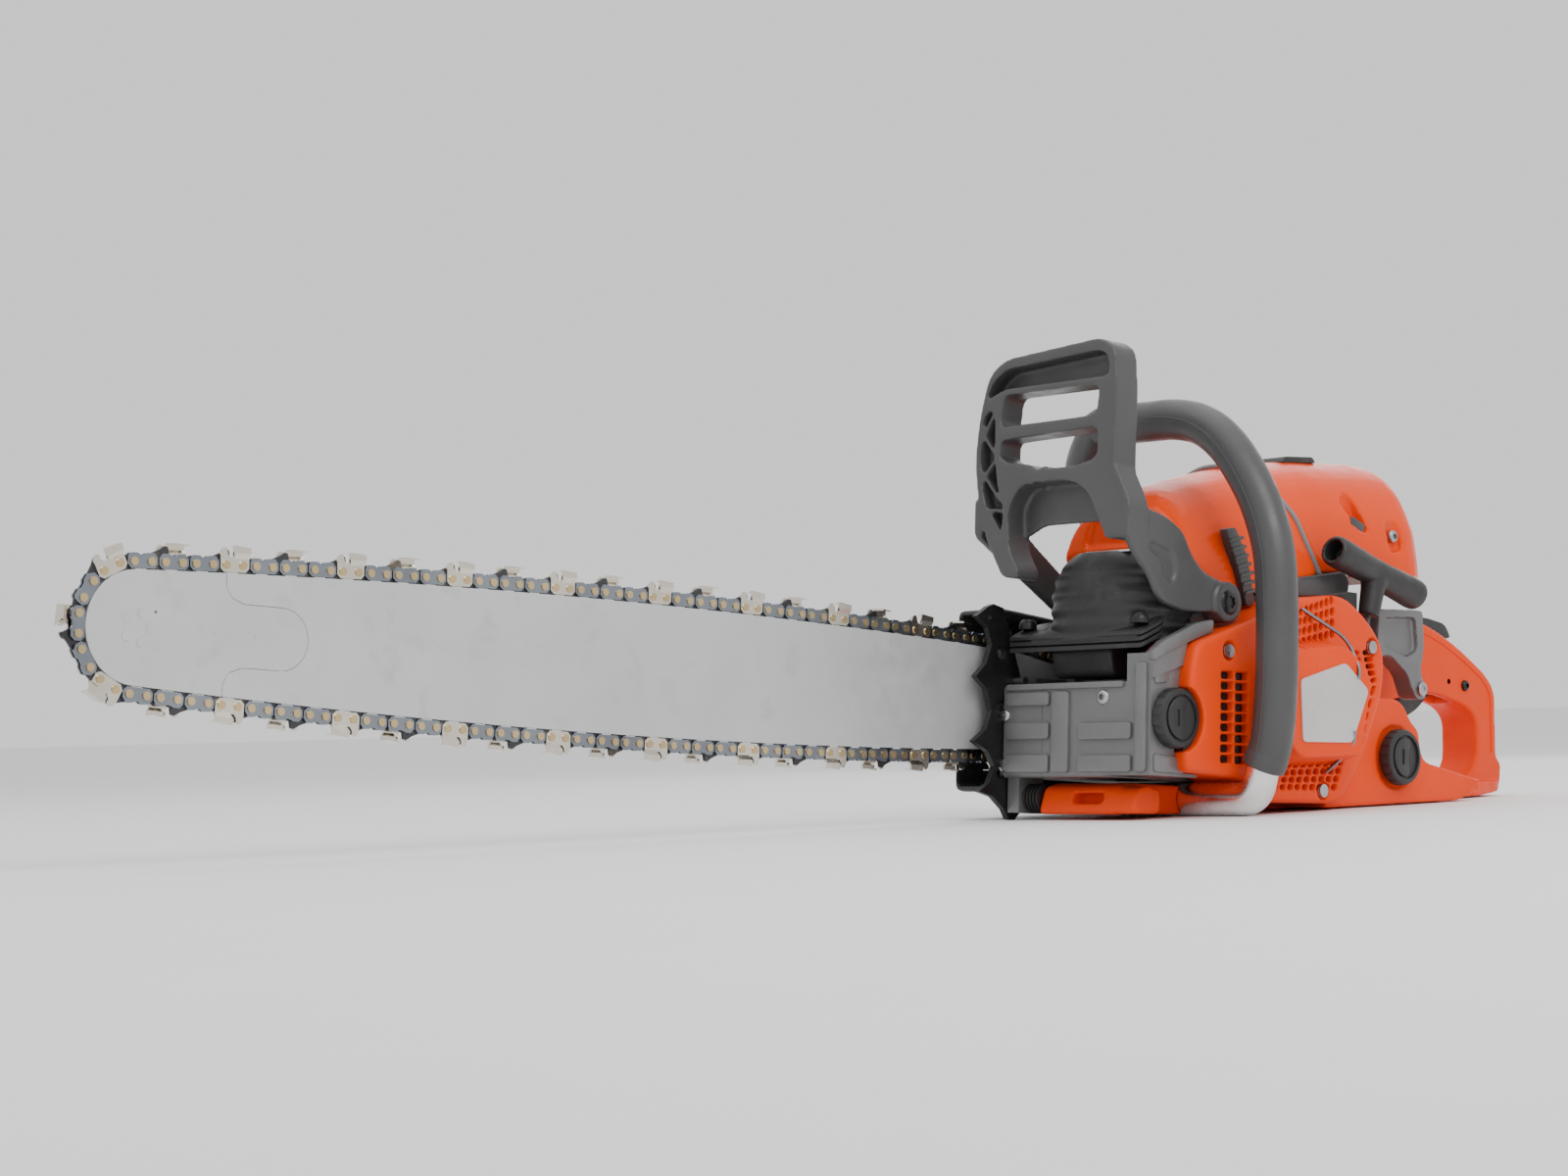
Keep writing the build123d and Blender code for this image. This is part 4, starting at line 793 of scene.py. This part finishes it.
rim_path = [
    (-148, -78, 118), (-114, -78, 114), (-96, -78, 106), (-86, -78, 90), (-72, -78, 79.5),
    (-54, -78, 75.5)
]
rim = tube(smooth_path(rim_path, 14), 2.6, 12)
low_rim_path = [
    (-146, -78, 98), (-139, -78, 88), (-126, -78, 78), (-116, -78, 62), (-92, -78, 57.5), (-63, -78, 59)
]
low_rim = tube(smooth_path(low_rim_path, 14), 2.6, 12)
bridge = slab(
    "front", rounded([(-81, 98), (-82, 121), (-66, 152), (-60, 152), (-60, 98)], 5), -151, -131
)
right_arm = slab("side", rounded([
    (-151, 106), (-151, 132), (-132, 132), (-96, 105), (-54, 78), (-38, 71), (-38, 57), (-52, 51),
    (-60, 56),
], 5), 46.5, 52.5)
slot_window = slab(
    "side", rounded(
        [(-126, 98), (-106, 93), (-100, 82), (-104, 72), (-114, 74), (-118, 88), (-130, 92)], 5
    ), -90, -79
)


def rib(first, second, width, low, high):
    """A straight web across the guard's frame between two (Y, Z) points."""
    across = (Vector(second) - Vector(first)).normalized().orthogonal() * width / 2
    return slab("front", [
        tuple(Vector(first) + across), tuple(Vector(second) + across), tuple(Vector(second) - across),
        tuple(Vector(first) - across),
    ], low, high)


shroud = slab("front", rounded(
    [
        (-60, 108), (-48, 131), (-33, 140), (4, 141), (16, 138), (25, 124), (23, 104), (6, 112),
        (-44, 112)
    ], 5), -134, -130.5)
trusses = [rib(a, b, 2.6, -150, -136) for a, b in (
    ((36, 190), (47, 172)), ((34, 158), (48, 176)), ((34, 158), (49, 142)), ((30, 128), (48, 150)),
    ((28, 122), (45, 124)),
    ((28, 104), (44, 126)), ((24, 94), (37, 104)),
)]
trusses += [rib(a, b, 3.2, -150, -131) for a, b in (
    ((2, 138), (30, 156)), ((-33, 137), (-54, 152)), ((-8, 138), (-8, 149)), ((-48, 128), (-63, 148)),
)]
guard = moulded(
    [
        combine(guard, windows), shroud, bridge, arm, boss, rim, low_rim, right_arm,
        disc("side", 13, 46.5, 52.8, PIVOT), *trusses
    ],
    [slot_window, disc("side", PIVOT_RADIUS + 0.06, -90, 60, PIVOT)], 1.2, 4,
)
piece("hand_guard_moulding", [guard], "guard", "grey_plastic", ["hand_guard"])

bolts = [
    star_screw((PIVOT_X, -81.8, PIVOT_Z), (0, -1, 0), 8.6, 3.4),
    turned([(-84, PIVOT_RADIUS), (-54, PIVOT_RADIUS)], (PIVOT_X, 0, PIVOT_Z), (0, 1, 0), 32),
    star_screw((PIVOT_X, 53.0, PIVOT_Z), (0, 1, 0), 7.0, 1.6),
    turned([(37, PIVOT_RADIUS), (54, PIVOT_RADIUS)], (PIVOT_X, 0, PIVOT_Z), (0, 1, 0), 32),
]
piece("guard_pivot_screws", bolts, "saw", "black_steel", ["guard_pivot_bolts"])

# ------------------------------------------------------------------ front handle grip
HANDLE_X = -46
TUBE_FOOT_Z = -64.58
TUBE_RADIUS = 11
GRIP_RADIUS = 13.75
HOOP = [
    (84, 70, 44), (34, 70, 84), (-34, 62, 160), (HANDLE_X, 34, 190), (HANDLE_X, -44, 190),
    (HANDLE_X, -99, 142), (HANDLE_X, -119, 78), (HANDLE_X, -119, -8),
    (HANDLE_X, -104, TUBE_FOOT_Z), (HANDLE_X, 12, TUBE_FOOT_Z),
]
hoop = [Vector(p) for p in HOOP]

grip_first = hoop[1] * 0.5 + hoop[2] * 0.5
grip_last = hoop[7] + (hoop[8] - hoop[7]) * 0.62
line = smooth_path([grip_first, *hoop[2:4]], 24)[:-1]
FRONT_LINE = [
    (34, 190), (14, 190.4), (-12, 190.4), (-34, 189.6), (-56, 184), (-75.5, 170.5), (-93, 149),
    (-107, 124), (-116, 96), (-119, 64), (-119.4, 26), (-118.6, -2), (-115.6, -28),
]
knots = [Vector((HANDLE_X, y, z)) for y, z in FRONT_LINE] + [grip_last]
for i in range(len(knots) - 1):
    before = knots[max(i - 1, 0)]
    first, second = knots[i], knots[i + 1]
    after = knots[min(i + 2, len(knots) - 1)]
    for k in range(8):
        t = k / 8
        line.append(0.5 * (
            2 * first + (second - before) * t + (2 * before - 5 * first + 4 * second - after) * t * t
            + (3 * first - before - 3 * second + after) * t ** 3
        ))
line.append(grip_last)
lower = smooth_path([line[-1], hoop[8], hoop[9]], 26, 16)
upper = smooth_path([hoop[0], hoop[1], line[0] + (line[1] - line[0]).normalized() * 4], 26, 16)
piece(
    "handle_tube_lower", [tube([*line[-4:-1], *lower], TUBE_RADIUS, 40)], "saw", "bare_aluminium",
    ["front_handle_tube"]
)
piece(
    "handle_tube_upper", [tube(upper, TUBE_RADIUS, 40)], "saw", "bare_aluminium", ["front_handle_tube"]
)
collar = turned(
    [(22, 11.2), (22, 15), (23, 15.8), (32, 15.8), (34, 14), (34, 11.2)], hoop[0], hoop[1] - hoop[0], 48
)
piece("handle_upper_collar", [collar], "saw", "orange_plastic")
first_way = (hoop[2] - hoop[1]).normalized()
last_way = (line[-1] - line[-3]).normalized()
COLLAR_PROFILE = [(-1.2, 11.1), (-1.2, 13.6), (-0.4, 14.3), (7, 14.5), (9, GRIP_RADIUS)]
collars = [
    turned(COLLAR_PROFILE, grip_first, first_way, 48), turned(COLLAR_PROFILE, grip_last, -last_way, 48),
]
seam_line = [point + Vector((-13.55, 0, 0)) for point in line[30:-4]]
piece(
    "handle_grip_sleeve", [tube(line, GRIP_RADIUS, 48), *collars, tube(seam_line, 0.55, 8)], "saw",
    "grip_rubber", ["handle_grip"]
)

# ------------------------------------------------------------------ tank and rear handle
HANDLE_SIDE = [
    (150, 12), (163, -4), (171, -9), (176, -34), (252, -43), (312, -36), (324, -22), (322, 9),
    (309, 17), (262, 26), (205, 14), (186, 14), (150, 40), (168, 66), (205, 74), (240, 78),
    (271, 71), (302, 59), (334, 43), (347, 31), (349, -19), (356, -24), (354, -44), (312, -49.5),
    (227, -55.8), (180, -58), (120, -60), (120, 12),
]
HANDLE_REACH = [
    6, 10, 10, 14, 20, 14, 12, 16, 14, 24, 16, 14, 16, 10, 18, 18, 16, 18, 18, 16, 6, 8, 12, 24, 20, 10,
    2, 2
]
handle = slab("side", rounded(HANDLE_SIDE, HANDLE_REACH, 4), -24, 8, 9, 4)
TANK_SIDE = [
    (62, -67), (62, 6), (70, 11), (150, 12), (163, -4), (171, -8), (175, -30), (250, -41), (227, -55.8)
]
tank = slab("side", rounded(TANK_SIDE, [3, 6, 6, 12, 12, 10, 20, 4, 10], 4), -78, 58, 7, 4)
guard_plate = slab("side", rounded(
    [
        (174, -33), (250, -43), (330, -38), (354, -39), (355, -44), (312, -49.5), (227, -55.8),
        (180, -58)
    ], 4), -44, 30, 2.2, 3)
plate_plan = slab(
    "top", rounded(
        [(170, -44), (290, -41), (340, -30), (356, -22), (356, 8), (336, 18), (280, 28), (170, 30)], 8
    ), -80, 0
)
combine(guard_plate, [plate_plan], "INTERSECT")
far_mount = slab("side", rounded([(60, 0), (60, 62), (96, 62), (96, 0)], 5), 50, 88.5, 3)
skid = slab(
    "side", rounded([(-30, -74), (-30, -66), (62, -60), (212, -49), (212, -57.6)], 2), -41, 45, 1.5
)
cover_room = slab("side", rounded([
    (-100, 16), (-95, 35), (-30, 56), (10, 72), (64, 79), (94, 63), (112, 45), (111.4, 15),
    (86.8, -34.4), (66.6, -58.6), (58, -65), (-20, -67),
], 5), -98, -41.2)
tank_cuts = [
    cover_room,
    slab("side", rounded([(236, 52), (236, 90), (306, 90), (306, 52)], 4), -16.5, 0.5),
    slab("side", rounded([(226, -6), (226, 51), (299, 51), (299, -6)], 4), -16.5, 0.5),
    disc("side", 22.5, -84, -75.5, FUEL_CAP_PLACE),
    tube([hoop[0], hoop[0] + (hoop[1] - hoop[0]).normalized() * 60], 14.1, 32),
]
for i in range(4):
    tank_cuts.append(slab("side", rounded(
        [
            (262 + 15 * i, -45.5 - i * 0.2), (262 + 15 * i, -40), (272 + 15 * i, -39.4),
            (272 + 15 * i, -45)
        ], 1.2), -48, -36))
rear = moulded([handle, tank, guard_plate, far_mount, skid], tank_cuts, 1.5, 4)
piece("tank_and_rear_handle", [rear], "saw", "orange_plastic", ["tank_and_handle"])
parting = [Vector((x, -24.2, z)) for x, z in (
    (170, 62), (205, 66), (240, 70), (268, 65), (300, 53), (330, 38), (340, 28), (342, -16))]
piece("handle_parting_line", [tube(smooth_path(parting, 14), 0.7, 8)], "saw", "orange_plastic")
piece("handle_side_screw", [star_screw((306, -23.6, 32), (0, -1, 0), 4)], "saw", "black_steel")

trigger = slab(
    "side", rounded(
        [(238, 10), (236, 26), (246, 40), (290, 41), (292, 30), (276, 24), (262, 12), (248, 6)],
        [4, 6, 6, 4, 4, 8, 8, 4]
    ), -14, -2, 2.4, 4
)
trigger_ribs = [
    slab(
        "side", [
            (246 + 5 * i, 8.5 + 2.8 * i), (248 + 5 * i, 9.4 + 2.8 * i), (248 + 5 * i, 14 + 2.8 * i),
            (246 + 5 * i, 13 + 2.8 * i)
        ], -13, -3, 0.5
    ) for i in range(5)
]
piece(
    "throttle_trigger_moulding", [trigger, *trigger_ribs], "trigger", "dark_plastic",
    ["throttle_trigger"]
)
lockout = slab(
    "side", rounded(
        [(240, 55), (241, 66), (262, 82), (296, 78), (303, 68), (290, 66), (254, 60), (252, 53)],
        [3, 6, 12, 8, 3, 4, 4, 3]
    ), -14, -2, 2.2, 4
)
piece("throttle_lockout_moulding", [lockout], "lockout", "dark_plastic", ["throttle_lockout"])


CAP_NOTCHES = 18
CAP_WING_RADIUS = 13.8


def flip_cap(name, body, node, centre, face):
    """A filler cap with a grooved rim and a comma-shaped wing."""
    x, z = centre
    rim = turned(
        [(0.3, 18.6), (1.2, 19.5), (6.5, 19.5), (8.4, 18.4), (9.0, 16.5)], (x, face, z), (0, -1, 0), 72
    )
    notches = []
    for i in range(CAP_NOTCHES):
        angle = 2 * pi * i / CAP_NOTCHES
        notches.append(
            turned(
                [(0, 1.3), (12, 1.3)], (x + 20 * cos(angle), face, z + 20 * sin(angle)), (0, -1, 0), 10
            )
        )
    combine(rim, notches)
    bowl = turned([(7.4, 15.2), (12, 15.4)], (x, face, z), (0, -1, 0), 48)
    combine(rim, [bowl])
    half = [
        (x + CAP_WING_RADIUS * cos(radians(a)), z + CAP_WING_RADIUS * sin(radians(a)))
        for a in range(95, 276, 12)
    ]
    wing = slab(
        "side", rounded([*half, (x + 3.4, z - 11), (x + 2.2, z + 2), (x + 5.0, z + 12)], 2.5, 2),
        face - 9.8, face - 7, 0.9, 3
    )
    grip_slot = slab(
        "side", rounded([(x - 9, z - 4), (x - 9, z + 4), (x - 3, z + 6), (x - 3, z - 6)], 2), face - 11,
        face - 9
    )
    combine(wing, [grip_slot])
    neck = turned([(-9, 10.4), (-8, 11.5), (1, 11.5)], (x, face, z), (0, -1, 0), 48)
    piece(name, [rim, wing, neck], body, "dark_plastic", [node])


flip_cap("oil_cap_moulding", "oil_lid", "oil_cap", OIL_CAP_PLACE, -82)
flip_cap("fuel_cap_moulding", "fuel_lid", "fuel_cap", FUEL_CAP_PLACE, -78)

# ------------------------------------------------------------------ crankcase front and side details
def panel(rows, low, high):
    """Raised rectangular pads on the crankcase's front face, given as (Y0, Y1, Z0, Z1)."""
    return [
        slab("front", rounded([(y0, z0), (y1, z0), (y1, z1), (y0, z1)], 2.6), low, high, 1.0, 2)
        for y0, y1, z0, z1 in rows
    ]


FRONT_PADS = [
    (3, 41, -6, 3), (3, 41, -28, -17), (3, 41, -50, -38), (-67, -22, -29, -18), (-67, -22, -50, -39),
    (-79, -70, -50, 20), (-14, 1, -50, 3),
]
pads = panel(FRONT_PADS, -129.4, -125.5)
piece("crankcase_front_pads", pads, "saw", "magnesium")
shelf = slab(
    "side", rounded(
        [
            (-127.6, 20), (-127.6, 27), (-116, 35), (-84, 48), (-68, 51.5), (-68, 44), (-84, 38),
            (-116, 26)
        ], 3
    ), -85.2, -80, 1.2, 2
)
lip = slab("front", rounded([(-60, 4.5), (41, 4.5), (41, 8.6), (-60, 8.6)], 1.5), -129, -124, 0.8)
side_pads = [
    slab("side", rounded([(-124, 6), (-124, 22), (-112, 22), (-110, 8)], 3), -83.4, -80, 1.0),
    slab("side", rounded([(-124, -50), (-124, -38), (-94, -40), (-94, -50)], 3), -83.4, -80, 1.0),
]
piece("crankcase_side_ribs", [shelf, lip, *side_pads], "saw", "magnesium")
piece("crankcase_front_screws", [
    star_screw((-125.6, -42, -1.5), (-1, 0, 0), 5.0), star_screw((-125.6, -6, -22), (-1, 0, 0), 4.6),
    star_screw((-125.6, 43, -45), (-1, 0, 0), 4.4), star_screw((-125.6, 43, -12), (-1, 0, 0), 4.4),
], "saw", "machine_steel")

# ------------------------------------------------------------------ muffler
muffler_plan = rounded([(-128, -46), (-108, -71), (-66, -71), (-66, 21), (-108, 21), (-128, 0)], 22, 7)
MUFFLER_MIDDLE = Vector((-94, -25))
MUFFLER_FOOT = 36
MUFFLER_HEIGHT = 59
MUFFLER_STEPS = 40
MUFFLER_RIB_PITCH = 10.5
CROWN_FOOT = 52
bm = bmesh.new()
rings = []
for i in range(MUFFLER_STEPS + 1):
    z = MUFFLER_FOOT + MUFFLER_HEIGHT * i / MUFFLER_STEPS
    crown = max(0.0, (z - CROWN_FOOT) / (MUFFLER_FOOT + MUFFLER_HEIGHT - CROWN_FOOT))
    size = (1 - min(1.0, crown) ** 3.4 * 0.6) ** (1 / 1.9)
    swell = 1 + 0.022 * cos(2 * pi * (z - 46) / MUFFLER_RIB_PITCH) if z < 84 else 1.0
    rings.append([
        bm.verts.new((*(MUFFLER_MIDDLE + (Vector(p) - MUFFLER_MIDDLE) * size * swell), z))
        for p in muffler_plan
    ])
for lower, upper in zip(rings, rings[1:]):
    for k in range(len(muffler_plan)):
        j = (k + 1) % len(muffler_plan)
        bm.faces.new((lower[k], lower[j], upper[j], upper[k]))
bm.faces.new(rings[0])
bm.faces.new(rings[-1])
skirt = slab("side", rounded([(-128, 33), (-127, 41), (-76, 63), (-70, 60), (-72, 52)], 2), -70, 22, 1)
lower_box = slab(
    "side", rounded([(-116, 31.3), (-74, 50), (-68, 40), (-70, 14), (-112, 13)], 4), -38, 14, 2
)
shell = moulded([new_object(bm), skirt, lower_box], (), 1.0, 3)
piece("muffler_ribbed_shell", [shell], "saw", "muffler_black", ["muffler_shell"])
strip = slab(
    "side", rounded([(-112, 94.2), (-76, 94.8), (-76, 96.2), (-112, 95.6)], 0.4), -50, -12, 0.3
)
piece("muffler_bright_strip", [strip], "saw", "bright_steel")
flange_plan = rounded(
    [(-130, -75), (-106, -75), (-92, -60), (-70, -56), (-70, 20), (-98, 22), (-106, 41), (-130, 41)], 7
)
layers = []
for offset, thick in ((0, 3.2), (4.4, 3.0), (8.2, 2.4)):
    layer = slab(
        "side", [
            (-128, 29.5 + offset), (-127, 29.5 + offset + thick), (-74, 52.6 + offset + thick),
            (-73, 52.6 + offset)
        ], -76, 42
    )
    plan_tool = slab("top", flange_plan, 10, 90)
    combine(layer, [plan_tool], "INTERSECT")
    edge = layer.modifiers.new("bevel", "BEVEL")
    edge.width = 0.7
    edge.segments = 2
    layers.append(settle(layer))
piece("muffler_flange_stack", layers, "saw", "muffler_black", ["muffler_flange"])
piece("muffler_star_screws", [
    star_screw((-120, -66, 46), (0, 0, 1), 6, 6.5), star_screw((-116, 34, 46), (0, 0, 1), 6, 6.5),
], "saw", "black_steel", ["muffler_screws"])

# ------------------------------------------------------------------ brackets, boot and clutch side
bracket = slab(
    "side", rounded([(-120, -77), (-114, -59), (-104, -56), (-36, -56), (-36, -74.2)], 4), -47, 19, 2.5,
    3
)
toe = slab(
    "side", rounded([(-120, -76.4), (-114, -60), (-104, -58), (-92, -60), (-92, -75.6)], 4), -62, -46,
    2.5, 3
)
slot_hole = slab("front", rounded([(-34, -70), (-34, -63), (-8, -63), (-8, -70)], 3.4), -130, -104)
tube_room = turned(
    [(-70, TUBE_RADIUS + 0.05), (20, TUBE_RADIUS + 0.05)], (HANDLE_X, 0, TUBE_FOOT_Z), (0, 1, 0), 48
)
bracket = moulded([bracket, toe], [slot_hole, tube_room], 1.2, 4)
piece("handle_bracket_moulding", [bracket], "saw", "orange_plastic", ["handle_bracket"])

corrugation = [(0.1, 6)]
BOOT_FOLDS = 5
FOLD_PITCH = 2.8
for i in range(BOOT_FOLDS):
    start = 0.3 + FOLD_PITCH * i
    corrugation += [
        (start, 7.6), (start + 0.5, 9.2), (start + 1.1, 9.5), (start + 1.7, 9.2), (start + 2.2, 7.6)
    ]
corrugation.append((13.8, 6))
piece(
    "boot_corrugated", [turned(corrugation, (-110, 20.1, -66), (0, 1, 0), 48)], "saw", "black_rubber",
    ["av_boot"]
)

bracket_grey = slab(
    "side", rounded(
        [
            (148, 76), (201, 79), (203, 52), (199, 36), (206, 15), (191, 15), (183, 32), (162, 44),
            (146, 42)
        ], 5
    ), -60, -46
)
ribs_cut = [slab("side", rounded([(154, 50), (154, 70), (192, 73), (195, 50), (182, 44)], 4), -64, -56)]
bracket_grey = moulded([bracket_grey, disc("side", 7.5, -61.5, -48, (196, 22))], ribs_cut, 1.0, 3)
piece(
    "av_bracket_moulding", [bracket_grey], "saw", "grey_plastic", ["av_bracket"],
    material=MATERIALS["magnesium"]
)
piece("av_bracket_screw", [star_screw((196, -61.4, 22), (0, -1, 0), 5)], "saw", "machine_steel")

clutch = slab(
    "side", rounded(
        [(-118, -62), (-118, 62), (-60, 58), (34, 50), (58, 22), (56, -38), (34, -56)],
        [6, 6, 14, 16, 18, 16, 14], 4
    ), 55, 98, 6, 4
)
raised = disc("side", 43, 96, 101, (0, 0))
clutch_inner = slab(
    "side", rounded(
        [(-130, -58.5), (-130, 58.5), (-61, 54.5), (32, 46.5), (54, 20), (52, -36), (32, -52)], 6
    ), 50, 94.5
)
clutch_cuts = [clutch_inner]
ROUND_SLOTS = 9
LEVEL_SLOTS = 6
LEVEL_PITCH = 13
for i in range(ROUND_SLOTS):
    angle = 2 * pi * i / ROUND_SLOTS
    clutch_cuts.append(slab("side", rounded([
        (r * cos(angle) - w * sin(angle), r * sin(angle) + w * cos(angle))
        for r, w in ((16, -2), (16, 2), (37, 3.4), (37, -3.4))], 1.4), 92, 104))
for i in range(LEVEL_SLOTS):
    z = 40 - LEVEL_PITCH * i
    clutch_cuts.append(
        slab("side", rounded([(-56, z), (-56, z + 5), (-40, z + 5), (-40, z)], 1.5), 97, 104)
    )
posts = [disc("side", 9, 62.7, 95, (x, 0)) for x in (-70, -90)]
clutch = moulded([clutch, raised], clutch_cuts, 1.4, 3)
piece("clutch_cover_moulding", [clutch, *posts], "saw", "dark_plastic", ["clutch_cover"])
